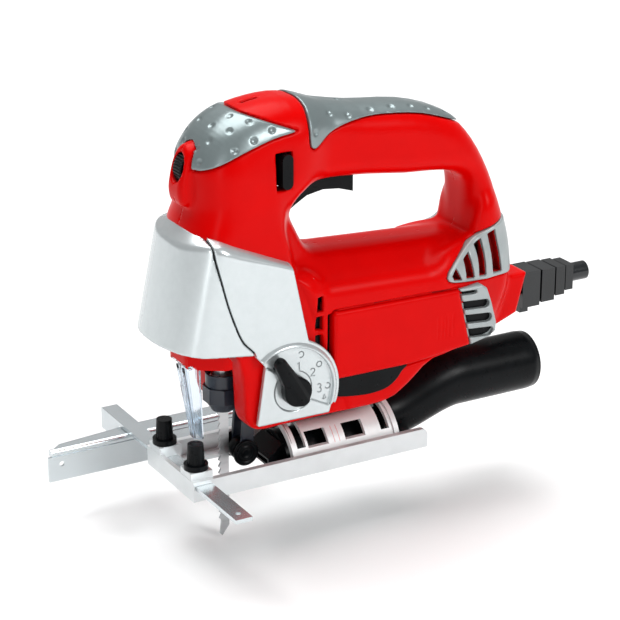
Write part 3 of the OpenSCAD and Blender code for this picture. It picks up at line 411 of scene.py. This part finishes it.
VENT_SLOTS = [(134.4, 92.0, 143.4, 91.6, 1.2), (134.0, 84.5, 150.6, 83.3, 2.6), (136.0, 76.0, 152.4, 74.6, 2.7),
              (138.6, 67.1, 153.8, 65.9, 2.7)]
GRILLE = np.array([[124.9, 102.4], [126.2, 105.2], [130.2, 108.6], [135.8, 112.6], [142, 116.4], [148.8, 119.7],
                   [156, 122.6], [170, 126.8], [200, 131], [200, 98.0], [174.6, 94.4], [156.2, 94.8],
                   [140.5, 97], [129.2, 99.0], [126.2, 100.3]])
GRILLE_SLOTS = [np.array(q) for q in (
    [[128.0, 103.2], [131.4, 107.2], [135.8, 99.1], [129.6, 100.3]],
    [[137.6, 110.6], [142.4, 113.6], [145.9, 98.0], [138.9, 99.0]],
    [[147.7, 116.4], [152.9, 118.8], [155.4, 97.2], [149.4, 97.9]],
    [[157.2, 120.8], [162.8, 122.6], [167.8, 96.7], [160.8, 97.1]])]
BELLY = spline([[49, 57], [49.5, 48], [54, 45.6], [64, 43.8], [75, 42.9], [85, 43.9], [91.5, 47.2], [96, 52.5],
                [97, 57]])
LOCK_PLACE = (24.4, 178.5)
WHEEL = (-14.5, 179.0)
BOSSES = [[-16, 160], [20, 204], [88, 115], [152, 168], [121, 62], [60, 42], [180, 78]]
DIAL = (26.0, 56.5)
RING = (23.0, 55.0)
# the halves stop this far short of the middle plane, and their walls are this thick
MIDDLE = 0.01
WALL = 2.8
# the side panels and the dial's sunk plate lie this far out
FLANK = 34.3
PLATE = 34.7


def capsule(x, z, x0, z0, x1, z1, r):
    """Distance from a rounded bar in the XZ plane."""
    ex, ez = x1 - x0, z1 - z0
    t = np.clip(((x - x0) * ex + (z - z0) * ez) / (ex * ex + ez * ez), 0, 1)
    return np.hypot(x - x0 - t * ex, z - z0 - t * ez) - r


def silver_skin(x, a, z):
    """Outside of the hood and side covers: straight sides that close round a leaning nose."""
    centre = -9 - 0.215 * (150 - z)
    u = np.maximum(centre - x, 0) / 22
    return ((u**2.15 + (a / 35.5) ** 2.15) ** (1 / 2.15) - 1) * 24


def silver_top(x, a):
    """Height of the edge where the silver covers stop and the red neck comes out of them."""
    slant = 129.1 + 0.441 * (25.6 - x)
    return join(slant, 149.4 + 0 * a, 3)


def neck(x, a, z):
    """Column from the head down into the covers."""
    front = flow(z, [130, 142, 148, 156, 164, 174, 186, 196], [-26.4, -26.2, -25.4, -22.6, -20, -19, -19.2, -19])
    half = flow(z, [110, 135, 146, 158, 172, 186, 200], [31.8, 31.4, 30.4, 28.6, 27, 26.4, 26])
    u = np.maximum(front + 19 - x, 0) / 19
    side = ((u**2.4 + (a / half) ** 2.4) ** (1 / 2.4) - 1) * 20
    back = 0.96 * (x - 37) + 0.22 * (z - 100)
    return meet(meet(meet(side, back, 8), z - 190, 16), 112 - z, 4)


def rib_half(z):
    """Half width of the rib over the speed dial, drawn in to nothing at its top."""
    return flow(z, [180, 186, 190.5, 193.5, 196], [9.2, 8.6, 6.8, 3.8, -3])


def around_rib(x, a, z, gap):
    """Room that the raised rib of the speed dial takes out of the nose grip."""
    return np.maximum(a - rib_half(z) - gap, outline(x, z, RIB) - 1.2 - gap)


def body_shape(x, y, z):
    """The red casing as one solid, before it is hollowed: negative inside."""
    a = np.abs(y)
    handle = pillow(outline(x, z, HANDLE), a, 19.5, 15, 17, 2.15)
    head = pillow(outline(x, z, HEAD), a, 27, 22, 23, 2.15)
    lower = outline(x, z, LOWER)
    crest = 111 - 0.04 * (x - 42)
    slope = 0.447 * (a - 30.5) + 0.894 * (z - crest)
    width = 32.6 - flow(x, [118, 134, 150, 176], [0, 1.5, 6, 13])
    barrel = meet(meet(a - width, slope, 7), lower, 5)
    rear = pillow(outline(x, z, REAR), a, flow(x, [118, 140, 180], [30, 26.5, 19]), 9, 9, 2.3)
    box = meet(outline(x, z, BOX), a - 17.2, 3)
    rib = pillow(outline(x, z, RIB), a, rib_half(z), 5, 5, 2.2)
    made = join(join(handle, head, 10), neck(x, a, z), 7)
    made = join(made, barrel, 9)
    made = join(join(made, rear, 8), box, 3)
    swell = (np.sqrt(((x - 38.5) / 7) ** 2 + ((a - 25.5) / 6.5) ** 2 + ((z - 107) / 11) ** 2) - 1) * 6.5
    made = join(made, swell, 7)
    made = join(made, rib, 2.5)
    return meet(made, -outline(x, z, OPENING), 13)


def grille_edge(x, a, z):
    """Extent of the rear grille: over the flank, and all the way round the back."""
    return np.maximum(outline(x, z, GRILLE), flow(x, [150, 160, 166, 172], [20, 15, 11, -3]) - a)


def outer(x, y, z):
    """The casing's outside, drawn in where the covers lie on it."""
    a = np.abs(y)
    behind = 0.5 * np.maximum(x - 26 - 0.38 * (130 - z), 0)
    return meet(body_shape(x, y, z), silver_skin(x, a, z) + 2.9 - 3 * np.maximum(z - 147.2, 0) - behind, 1)


def lock_way(x, a, z):
    """Hole that the lock button goes in by."""
    return block(x, -a, z, 22.0, 28.9, -12, 168.2, 188.8)


def casing(x, y, z):
    """The hollow casing with everything cut out of it."""
    a = np.abs(y)
    outside = outer(x, y, z)
    bay = np.minimum(block(x, a, z, -60, 24, 17, 20, 64), block(x, a, z, -60, 13, 17, 20, 82))
    inside = outside + WALL
    inside = np.maximum(inside, -(bay - 2.6))
    hub = np.hypot(x - WHEEL[0], z - WHEEL[1])
    wheel = np.maximum(np.maximum(hub - 11.5, a - 5.2), -21.5 - x)
    inside = np.maximum(inside, -np.maximum(np.maximum(hub - 15, a - 8.5), -40 - x))
    mouth = np.maximum((np.hypot(a / 6.2, (z - 181.0) / 8.1) - 1) * 6.2, x - WHEEL[0])
    wheel = np.minimum(wheel, mouth)
    panel = outline(x, z, PANEL)
    inside = np.maximum(inside, -np.maximum(panel - 9, 23 - a))
    grille = grille_edge(x, a, z)
    inside = np.maximum(inside, -np.maximum(grille, -(outside + 8.5)))
    lock = np.maximum(np.abs(x - LOCK_PLACE[0]) - 5.0, np.abs(z - LOCK_PLACE[1]) - 10.2)
    inside = np.maximum(inside, -np.maximum(lock - 2, 18 - a))
    for bx, bz in BOSSES:
        inside = np.maximum(inside, 4.5 - np.hypot(x - bx, z - bz))
    shell = np.maximum(outside, -inside)
    cuts = np.minimum(bay, wheel)
    cuts = np.minimum(cuts, block(x, a, z, 37, 80, 8.6, 149, 173))
    cuts = np.minimum(cuts, np.maximum(lock, 20.5 - a))
    cuts = np.minimum(cuts, lock_way(x, a, z))
    for z0, z1 in ((66, 72.8), (76, 83.6), (86.8, 94.9), (97.6, 106.4)):
        cuts = np.minimum(cuts, block(x, -a, z, 41.4, 45.4, -26.5, z0, z1))
    cuts = np.minimum(cuts, block(x, -a, z, 48.4, 56, -28.4, 57, 95))
    cuts = np.minimum(cuts, np.maximum(np.abs(panel - 0.6) - 0.6, 31 - a))
    for slot in GRILLE_SLOTS:
        cuts = np.minimum(cuts, np.maximum(outline(x, z, slot), -(outside + 6)))
    cuts = np.minimum(cuts, block(x, a, z, 13, 22.5, 1.5, 209.5, 230))
    cap = np.maximum(outline(x, z, CAP), -around_rib(x, a, z, 0))
    for skin in (cap, outline(x, z, GRIP_LINE), grille):
        cuts = np.minimum(cuts, np.maximum(skin - 0.35, -(outside + 1.2)))
    shell = meet(shell, -cuts, 0.8)
    return np.maximum(shell, MIDDLE - y)


low, high = (-50, -STEP, 32), (196, 38, 219)
half = nets(casing, low, high, STEP)


def close_seam(verts):
    """Brings the rim of a half out to the middle plane, so that the halves meet without a groove."""
    near = verts[:, 1] < 0.6 * STEP
    p = verts[near]
    p[:, 1] = MIDDLE
    rim = np.abs(outer(*p.T)) < 0.5
    p[rim] = settle(outer, p[rim], 0.5)
    p[:, 1] = MIDDLE
    verts[near] = p


close_seam(half[0])


def casing_piece(name, verts, faces, node):
    """One half of the casing, with painted shade: its inside and its recesses a darker red."""
    made = piece(name, verts, faces, RED, "machine", [node], "red_plastic")
    made.data.materials.append(SHADE_RED)
    centre = verts[faces].mean(1)
    # faces more than 1.6 mm under the outside take the painted shade
    in_shade = outer(*centre.T) < -1.6
    made.data.polygons.foreach_set("material_index", in_shade.astype(np.int32))
    crease_seam(made)


casing_piece("casing_right", *half, "housing_right")
casing_piece("casing_left", *mirrored(*half), "housing_left")

# ---------------------------------------------------------------- silver covers

COVER = np.array([[-80, 70], [2, 80.6], [8.4, 73], [3.4, 39.2], [47.8, 38.5], [49.4, 44], [50, 56], [38, 78],
                  [34.9, 84], [24.9, 130], [24.9, 160], [-80, 160]])
EDGE = np.array([[-2, 85], [2, 80.6], [8.4, 73], [3.4, 39.2], [23, 39], [49.6, 44.3], [52.6, 43], [60, 60],
                 [40, 90], [10, 95]])
SUNK = np.array([[8, 73], [17.5, 67.5], [26, 66], [34, 50.5], [36.3, 48.9], [52, 40.9], [60, 60], [40, 90],
                 [0, 90]])


def silver_face(x, a, z):
    """Outside of the silver shells, with the bright chamfer along their top."""
    skin = silver_skin(x, a, z)
    top = silver_top(x, a)
    lip = flow(a, [0, 20, 28, 33], [6.2, 6.0, 4.2, 3.4])
    lean = flow(x, [-30, -18, 26], [1.0, 1.35, 0.7])
    chamfer = (lean * (skin + lip) + z - top) / np.sqrt(1 + lean * lean)
    return meet(meet(skin, chamfer, 1.5), z - top, 0.8)


def silver(x, y, z):
    """The silver shells' wall, thicker at its top edge."""
    a = np.abs(y)
    thick = 2.5 + 5 * np.clip((z - silver_top(x, a) + 12) / 8, 0, 1)
    return np.maximum(silver_face(x, a, z), -(silver_skin(x, a, z) + thick))


def covering(x, y, z):
    """The side cover, with the sunk plate of the orbital dial."""
    a = np.abs(y)
    shell = meet(silver(x, y, z), outline(x, z, COVER), 0.8)
    away = np.hypot(x - RING[0], z - RING[1])
    lug = meet(meet(away - 31, a - 35.5, 0.8), outline(x, z, EDGE), 0.6)
    shell = np.minimum(shell, np.maximum(lug, 32.8 - a))
    sunk = np.minimum(np.maximum(away - 26.8, outline(x, z, SUNK)), np.hypot(x - DIAL[0], z - DIAL[1]) - 12.4)
    return np.where(y < 0, meet(shell, -np.maximum(sunk, PLATE - a), 0.5), shell)


def seam(x, z):
    """Line that parts the hood from the covers, as a distance in X: negative on the hood's side."""
    return x - flow(z, [80, 90, 103, 123, 141, 155], [2.5, -5, -10.6, -16.6, -20.2, -20.6])


def hood(x, y, z):
    """The shell round the nose, across the middle plane."""
    bottom = 81 + 0.14 * (2 - x) - z
    return np.maximum(np.maximum(silver(x, y, z), seam(x, z) + 0.5), bottom)


def cover(x, y, z):
    """The side cover on both sides, up to the seam with the hood."""
    a = np.abs(y)
    return np.maximum(np.maximum(covering(x, y, z), -seam(x, z) + 0.5), 20 - a)


def seam_shade_plate(x, y, z):
    """Black strip behind the joint of the hood and covers, as painted shade seen in the gap."""
    a = np.abs(y)
    strip = np.maximum(silver_face(x, a, z) + 0.8, -(silver_skin(x, a, z) + 6))
    strip = np.maximum(strip, np.abs(seam(x, z)) - 1.6)
    return np.maximum(strip, np.maximum(82 - z, 20 - a))


def scale_ring(x, y, z):
    """Raised rim round the orbital dial, on the left cover only."""
    away = np.hypot(x - RING[0], z - RING[1])
    ring = np.maximum(np.abs(away - 28.8) - 2.2, 33 - np.abs(y))
    ring = meet(meet(ring, 0.72 * (away - 27.7) + 0.69 * (-y - 37.2), 0.5), -y - 37.2, 0.5)
    return meet(ring, outline(x, z, EDGE), 0.5)


made = nets(hood, (-52, -37, 76), (6, 37, 156), STEP * 0.8)
piece("hood", *made, SILVER, "machine", ["front_hood"], "silver_plastic")
made = nets(cover, (-24, 19, 36), (56, 37.5, 152), STEP)
piece("cover_right", *made, SILVER, "machine", ["side_cover_right"], "silver_plastic")
made = nets(cover, (-24, -37.5, 36), (56, -19, 152), STEP * 0.7)
piece("cover_left", *made, SILVER, "machine", ["side_cover_left"], "silver_plastic")
# painted shade: a black strip seen through the joint, where there is only shade
made = nets(seam_shade_plate, (-30, 19, 78), (8, 36, 152), STEP)
piece("seam_lining_right", *made, BLACK, "machine")
piece("seam_lining_left", *mirrored(*made), BLACK, "machine")
made = nets(scale_ring, (-10, -38.4, 30), (56, -31, 88), STEP * 0.7)
piece("scale_ring", *made, SILVER, "machine", ["orbital_scale"], "silver_plastic")

# ---------------------------------------------------------------- soft grips


def dimpled(shell, x, a, z, places):
    """Sinks a round dimple into a skin at each place, straight in from the casing's surface."""
    for place in places:
        at = np.array(place, float)
        for _ in range(4):
            slope = [body_shape(*(at + e)) - body_shape(*(at - e)) for e in np.eye(3) * 0.3]
            slope = np.array(slope).ravel() / 0.6
            at -= slope * float(body_shape(*at)) / (slope @ slope)
        centre = at + slope / np.linalg.norm(slope) * 3.05
        ball = np.sqrt((x - centre[0]) ** 2 + (a - centre[1]) ** 2 + (z - centre[2]) ** 2)
        shell = meet(shell, 3.1 - ball, 0.3)
    return shell


CAP_DIMPLES = [(1.4, 10, 208), (8, 19.5, 206), (18.5, 25.3, 201.6), (-7.7, 7, 203.3), (-2.8, 18, 202.2),
               (-12.3, 13.2, 197), (7.3, 25.8, 197.4), (-16.8, 8, 192.7), (-3.5, 24.9, 193.4),
               (-18.6, 13.4, 186.4)]
GRIP_DIMPLES = [(58, 16.3, 202.8), (69.7, 16.2, 200.1), (85.4, 12.5, 200.5), (99.7, 10.8, 199.9),
                (112.7, 10.4, 198.4), (123.4, 10.7, 195.6), (44.6, 24.8, 196), (72.7, 1, 204.8), (136, 8, 190.5)]


def skin_over(line, places):
    """Field of a soft skin on the casing, inside an outline and with its dimples."""
    def field(x, y, z):
        base = body_shape(x, y, z)
        shell = meet(base - 0.7, outline(x, z, line) + 0.3, 0.9)
        shell = dimpled(shell, x, np.abs(y), z, places)
        return np.maximum(shell, -(base + 2.4))
    return field


def nose_skin(x, y, z):
    """The nose's skin, with room for the rib of the speed dial."""
    shell = skin_over(CAP, CAP_DIMPLES)(x, y, z)
    return meet(shell, -around_rib(x, np.abs(y), z, 0.6), 0.6)


made = nets(nose_skin, (-34, -30, 178), (37, 30, 220), STEP * 0.72)
piece("nose_skin", *made, GRIP, "machine", ["nose_cap"], "soft_grip")
made = nets(skin_over(GRIP_LINE, GRIP_DIMPLES), (38, -29, 180), (154, 29, 220), STEP * 0.72)
piece("grip_skin", *made, GRIP, "machine", ["handle_grip"], "soft_grip")

# ---------------------------------------------------------------- speed dial


def between_rings(rings, count, close=False):
    """Quads from each ring of count points to the next, and from the last to the first if close."""
    faces = []
    for k in range(rings if close else rings - 1):
        n = (k + 1) % rings
        faces += [(k * count + i, k * count + (i + 1) % count, n * count + (i + 1) % count, n * count + i)
                  for i in range(count)]
    return faces


def turned(profile, n, ripple=0.0):
    """Solid turned about the Y axis from (y, radius) points, with flutes ripple deep round its widest part."""
    widest = max(r for _, r in profile)
    verts = []
    for y, r in profile:
        for i in range(n):
            c = 2 * math.pi * i / n
            q = r - (ripple if r > widest - 0.5 and i % 3 == 0 else 0)
            verts.append((q * math.cos(c), y, q * math.sin(c)))
    rows = len(profile)
    ends = [tuple(range(n))[::-1], tuple(range((rows - 1) * n, rows * n))]
    return np.array(verts), between_rings(rows, n) + ends


verts, faces = turned([(-4.6, 9.3), (-4.6, 10.4), (-4.0, 11.0), (4.0, 11.0), (4.6, 10.4), (4.6, 9.3)],
                      120, 0.45)
piece("speed_wheel", verts + [WHEEL[0], 0, WHEEL[1]], faces, BLACK, "speed_wheel", ["speed_dial"],
      "black_plastic", False)

# ---------------------------------------------------------------- casing screws

screw, quads = turned([(-6, 1.2), (-5.4, 1.5), (9.3, 1.5), (9.3, 3.0), (9.6, 3.2), (11.6, 3.2), (12, 2.8),
                       (12, 1.6), (10.4, 1.4)], 20)
verts = np.concatenate([screw + [bx, 0, bz] for bx, bz in BOSSES])
faces = [tuple(i + k * len(screw) for i in face) for k in range(len(BOSSES)) for face in quads]
piece("case_screws", verts, faces, STEEL, "machine", ["housing_screws"], smooth=False)

# ---------------------------------------------------------------- side panel, vents and rear grille


def panel(x, y, z):
    """Raised side panel over the motor, with five fine grooves."""
    a = np.abs(y)
    made = meet(outline(x, z, PANEL), a - FLANK, 2.6)
    for k in range(5):
        rib = np.maximum(np.abs(x - 119 - 2.4 * k) - 0.35, np.abs(z - 74) - 7)
        made = meet(made, -np.maximum(rib, 34.05 - a), 0.3)
    return np.maximum(made, 27 - a)


def vent(x, y, z):
    """Side vent with its four rounded slots."""
    a = np.abs(y)
    made = meet(outline(x, z, VENT), a - FLANK, 1.6)
    for slot in VENT_SLOTS:
        made = meet(made, -np.maximum(capsule(x, z, *slot), 31 - a), 0.5)
    return np.maximum(made, 18 - a)


def grille(x, y, z):
    """Rear grille, a skin that follows the casing."""
    base = body_shape(x, y, z)
    made = meet(base - 0.9, grille_edge(x, np.abs(y), z), 1.0)
    for slot in GRILLE_SLOTS:
        made = meet(made, -outline(x, z, slot), 0.5)
    return np.maximum(np.maximum(made, -(base + 1.2)), MIDDLE - y)


def belly(x, y, z):
    """Trim below the side panel."""
    base = body_shape(x, y, z)
    return np.maximum(meet(base - 0.5, outline(x, z, BELLY), 0.8), -(base + 2))


def both_sides(name, field, low, high, step, material, node=None, slot=None):
    """A right-hand piece and its mirror image."""
    made = nets(field, low, high, step)
    piece(name + "_right", *made, material, "machine", [node + "_right"] if node else (), slot)
    piece(name + "_left", *mirrored(*made), material, "machine", [node + "_left"] if node else (), slot)


both_sides("panel", panel, (50, 25, 54), (143, 36, 98), STEP * 0.8, RED, "motor_panel", "red_plastic")
both_sides("vent", vent, (131, 16, 58), (161, 36, 97), STEP * 0.6, SILVER_TRIM, "side_vent", "silver_plastic")
both_sides("grille", grille, (124, -0.5, 90), (186, 36, 130), STEP * 0.7, SILVER_TRIM, "rear_grille",
           "silver_plastic")
both_sides("belly", belly, (47, 24, 41), (99, 36, 59), STEP * 0.8, BLACK, "belly_trim", "black_plastic")


def shade_plate(name, x0, x1, y0, y1, z0, z1):
    """Thin black plate behind a row of openings, as painted shade seen through them, with rounded rims and the
    lock button's hole.
    """
    def field(x, y, z):
        a = np.abs(y)
        edge = np.maximum(np.maximum(x0 - x, x - x1), np.maximum(z0 - z, z - z1))
        plate = meet(edge, np.maximum(y0 - a, a - y1), 0.6)
        return np.maximum(plate, -lock_way(x, a, z))
    both_sides(name, field, (x0 - 2, y0 - 2, z0 - 2), (x1 + 2, y1 + 2, z1 + 2), STEP, BLACK)


def vent_back(x, y, z):
    """Black plate behind the side vent, as painted shade seen through its slots."""
    a = np.abs(y)
    return meet(outline(x, z, VENT) + 1.6, np.maximum(24 - a, a - 31.6), 0.5)


# painted shade: black plates behind the vent, the slots and the lock's recess
both_sides("vent_shade_plate", vent_back, (131, 22, 58), (160, 34, 97), STEP, BLACK)
shade_plate("slot_shade_plate", 39.6, 56.6, 26.0, 28.6, 56, 108.5)
shade_plate("lock_shade_plate", 19.0, 29.8, 18.6, 21.2, 168, 189)


def mouth_back(x, y, z):
    """Black plate in front of the trigger, inside the casing, as painted shade seen through the opening."""
    return block(x, np.abs(y), z, 34.6, 36.6, 9.4, 146.5, 157)


# painted shade: a black plate inside the trigger's opening
piece("mouth_shade_plate", *nets(mouth_back, (32, -12, 144), (39, 12, 159), STEP), BLACK, "machine")


def lock_blank(x, y, z):
    """Plug in the right-hand half, where the lock button isn't."""
    edge = np.maximum(np.abs(x - LOCK_PLACE[0]) - 4.7, np.abs(z - LOCK_PLACE[1]) - 9.9)
    return np.maximum(meet(edge, outer(x, y, z) + 0.3, 0.6), 19 - y)


made = nets(lock_blank, (18, 17, 166), (31, 34, 191), STEP * 0.7)
piece("lock_blank", *made, RED, "machine", slot="red_plastic")

# ---------------------------------------------------------------- orbital lever and the dial's marks


def lever(x, y, z):
    """Teardrop knob: a round hub that runs out to a narrower tip, with a ridge along it."""
    u, w = x - DIAL[0], z - DIAL[1]
    tip = np.array([-11.0, 18.6])
    length = np.hypot(*tip)
    along = (u * tip[0] + w * tip[1]) / length
    across = np.abs(u * tip[1] - w * tip[0]) / length
    t = np.clip(along / length, 0, 1)
    arm = np.hypot(along - t * length, across) - (5.6 - 2.0 * t)
    body = join(arm, np.hypot(u, w) - 8.2, 3)
    ridge = 42.6 - 1.6 * np.clip((across - 1.6) / 2.6, 0, 1)
    knob = meet(body, -y - ridge, 1.6)
    under = np.maximum(20.5 - np.hypot(u, w), -y - 38.2)
    return np.maximum(np.maximum(knob, 35.0 + y), -under)


made = nets(lever, (8, -44, 44), (38, -34, 82), STEP * 0.6)
piece("lever_knob", *made, BLACK, "lever", ["orbital_lever"], "black_plastic")


def along_band(base, count):
    """Quads of a flat band whose points come in pairs, from the point base on."""
    return [(base + 2 * i, base + 2 * i + 1, base + 2 * i + 3, base + 2 * i + 2) for i in range(count - 1)]


def ribbons(name, strokes, width, face, material):
    """Flat printed strokes on a plane that faces -Y, each a list of XZ points."""
    verts, faces = [], []
    for stroke in strokes:
        p = np.asarray(stroke, float)
        run = np.gradient(p, axis=0)
        side = np.stack([-run[:, 1], run[:, 0]], 1) / np.maximum(np.linalg.norm(run, axis=1), 1e-6)[:, None]
        base = len(verts)
        for q, n in zip(p, side):
            for k in (-1, 1):
                verts.append((q[0] + k * n[0] * width / 2, face, q[1] + k * n[1] * width / 2))
        faces += along_band(base, len(p))
    piece(name, verts, faces, material, "machine", smooth=False)


def arc(cx, cz, r, start, end, n=14):
    """Points of part of a circle, its angles in degrees from the rear, upwards."""
    turn = np.radians(np.linspace(start, end, n))
    return np.stack([cx + r * np.cos(turn), cz + r * np.sin(turn)], 1)


marks = [[(28.0, 71.0), (29.1, 71.9), (29.1, 67.4)]]
marks.append(np.concatenate([arc(37.5, 65.4, 1.3, 160, -30, 10), [(36.2, 62.2), (39.0, 62.2)]]))
marks.append(np.concatenate([arc(41.6, 55.6, 1.15, 150, -80, 9), arc(41.6, 53.1, 1.3, 80, -150, 10)]))
marks.append(arc(30.3, 76.2, 1.7, 150, -120))
marks.append(arc(41.6, 68.4, 1.6, 0, 360, 20))
marks.append(arc(46.9, 54.6, 1.6, 110, -160))
marks.append([(43.9, 47.2), (44.9, 50.0), (45.8, 47.6), (43.9, 47.2)])
marks.append(arc(*DIAL, 10.8, -8, 74, 16))
ribbons("dial_marks", marks, 0.55, -PLATE - 0.08, INK)

# ---------------------------------------------------------------- guard, roller, arch and sleeve


def slab(name, rows, material, body):
    """Closed piece from rings of points, each ring a row of the same length."""
    count = len(rows[0])
    ends = [tuple(range(count))[::-1], tuple(range((len(rows) - 1) * count, len(rows) * count))]
    piece(name, np.concatenate(rows), ends + between_rings(len(rows), count), material, body)


for side in (-1, 1):
    rows = []
    for t in np.linspace(0, 1, 9):
        x, half, z = -25.6 + 6.9 * t, 3.6 - 1.6 * t, 68.4 - 43.4 * t
        rows.append([(x + dx, side * half + dy, z) for dx, dy in
                     ((0.3, -0.9), (-0.5, -0.7), (-0.8, 0), (-0.5, 0.7), (0.3, 0.9))])
    slab("guard_rib_left" if side < 0 else "guard_rib_right", rows, CLEAR, "guard")

verts, faces = turned([(-3.3, 3.2), (-3.3, 3.8), (-2.8, 4.0), (-2.8, 4.9), (-3.3, 5.2), (-3.3, 5.9),
                       (-2.7, 6.35), (2.7, 6.35), (3.3, 5.9), (3.3, 5.2), (2.8, 4.9), (2.8, 4.0), (3.3, 3.8),
                       (3.3, 3.2)], 64)
ROLLER = np.array([10.1, 0, 11.5])
piece("roller_tyre", verts + ROLLER, faces, BLACK, "roller", ["guide_roller"], "black_plastic")
verts, faces = turned([(6.7, 1.2), (6.7, 7.2), (7.1, 7.6), (8.1, 7.6), (8.6, 7.1), (8.6, 5.6), (7.9, 5.3),
                       (7.9, 4.2), (8.5, 3.9), (8.5, 2.5), (7.9, 2.3), (7.9, 1.2)], 64)
piece("roller_rim_right", verts + ROLLER, faces, BLACK, "roller", slot="black_plastic")
piece("roller_rim_left", *mirrored(verts + ROLLER, faces), BLACK, "roller", slot="black_plastic")


def hoops(name, places, radius, start, end, width, material):
    """Thin printed or scored bands round the arch, as parts of circles about the X axis."""
    verts, faces = [], []
    for x in places:
        base = len(verts)
        turn = np.radians(np.linspace(start, end, 16))
        for c in turn:
            for k in (-1, 1):
                verts.append((x + k * width / 2, -radius * math.cos(c), radius * math.sin(c)))
        faces += along_band(base, len(turn))
    piece(name, verts, faces, material, "sole", smooth=False)


hoops("bevel_ticks", [31.9], 27.24, 40, 74, 0.3, INK)
hoops("centre_marks", [59.0, 62.2], 26.04, 30, 52, 0.25, RED_INK)

# ---------------------------------------------------------------- dust tube


def dust_elbow():
    """Round tube that leaves the sole low, bends up and runs on level, open at its end."""
    front, bend, rear = 101.2, 50, 203.3
    # places along it: x, height and outer radius
    spine = []
    for x in np.concatenate([np.linspace(front, 156, 24), np.linspace(160, rear, 10)]):
        t = np.clip((x - front) / bend, 0, 1)
        spine.append((x, 12.6 + 14.4 * t * t * (3 - 2 * t), 15.2 + 2.3 * t * t * (3 - 2 * t)))
    spine = np.array(spine)
    around = np.linspace(0, 2 * math.pi, 65)[:-1]
    rings = []

    def ring(k, r):
        """A ring square to the tube, flattened where it would go below the sole's top."""
        x, z, _ = spine[k]
        ahead = spine[min(k + 1, len(spine) - 1)] - spine[max(k - 1, 0)]
        lean = math.atan2(ahead[1], ahead[0])
        rings.append([(x - r * math.sin(c) * math.sin(lean), r * math.cos(c),
                       max(z + r * math.sin(c) * math.cos(lean), 2.6)) for c in around])

    for k in range(len(spine)):
        ring(k, spine[k][2] - (0.5 if k == len(spine) - 1 else 0))
    for k in reversed(range(len(spine))):
        ring(k, spine[k][2] - (1.5 if k == len(spine) - 1 else 2.0))
    return np.concatenate(rings), [face[::-1] for face in between_rings(len(rings), len(around), True)]


piece("dust_elbow", *dust_elbow(), BLACK, "sole", ["dust_tube"], "black_plastic")

# ---------------------------------------------------------------- stage, light and camera


def plane(name, size, place):
    """A square of the stage."""
    bpy.ops.mesh.primitive_plane_add(size=size, location=place)
    made = bpy.context.object
    made.name = name
    return made


floor = plane("floor", 60.0, (0, 0, cad_box[0].z - 0.0008))
floor_material, floor_bsdf = shader("floor_paint", Base_Color=(0.9, 0.9, 0.9, 1), Roughness=0.85)
tree = floor_material.node_tree
bump(tree, floor_bsdf, noise(tree, 200), 0.02, 0.1)
floor.data.materials.append(floor_material)

world = bpy.data.worlds.new("studio")
bpy.context.scene.world = world
world.use_nodes = True
sky = world.node_tree.nodes["Background"]
sky.inputs["Color"].default_value = (1, 1, 1, 1)
# diffuse light stays low, metal sees a pale room, and the camera and the clear guard a white one
tree = world.node_tree
path = tree.nodes.new("ShaderNodeLightPath")
seen = path.outputs["Is Camera Ray"]
for ray, share in (("Is Glossy Ray", 0.35), ("Is Transmission Ray", 1.0)):
    part = tree.nodes.new("ShaderNodeMath")
    part.operation = "MULTIPLY"
    part.inputs[1].default_value = share
    tree.links.new(path.outputs[ray], part.inputs[0])
    either = tree.nodes.new("ShaderNodeMath")
    either.operation = "MAXIMUM"
    tree.links.new(seen, either.inputs[0])
    tree.links.new(part.outputs["Value"], either.inputs[1])
    seen = either.outputs["Value"]
level = tree.nodes.new("ShaderNodeMapRange")
level.inputs["To Min"].default_value = 0.14
tree.links.new(seen, level.inputs["Value"])
tree.links.new(level.outputs["Result"], sky.inputs["Strength"])

LIT = Vector((0.06, 0, 0.1))


def lamp(name, kind, place, power):
    """A lamp that points at the middle of the tool."""
    made = bpy.data.objects.new(name, bpy.data.lights.new(name, kind))
    made.data.energy = power
    made.location = place
    made.rotation_euler = (LIT - Vector(place)).to_track_quat("-Z", "Y").to_euler()
    bpy.context.scene.collection.objects.link(made)
    return made.data


for name, place, size, power in (("key", (0.75, -1.6, 1.2), (0.8, 0.6), 19),
                                 ("strip", (-1.25, -1.1, 0.55), (0.2, 1.0), 4)):
    data = lamp(name, "AREA", place, power)
    data.shape = "RECTANGLE"
    data.size, data.size_y = size
lamp("top", "SUN", (0.1, 0.7, 2.6), 3.6).angle = math.radians(56)

# the focal length and the width of the frame, in the same unit
FOCAL, FRAME = 2137.2, 620
camera = bpy.data.objects.new("camera", bpy.data.cameras.new("camera"))
bpy.context.scene.collection.objects.link(camera)
azimuth, elevation = math.radians(-29.47), math.radians(20.878)
back = Vector((math.sin(azimuth) * math.cos(elevation), -math.cos(azimuth) * math.cos(elevation),
               math.sin(elevation)))
camera.location = (-0.4933, -0.9711, 0.5112)
camera.rotation_mode = "QUATERNION"
camera.rotation_quaternion = (-back).to_track_quat("-Z", "Y")
camera.data.sensor_width = 36
camera.data.lens = camera.data.sensor_width * FOCAL / FRAME
bpy.context.scene.camera = camera
bpy.context.scene.view_settings.view_transform = "Standard"
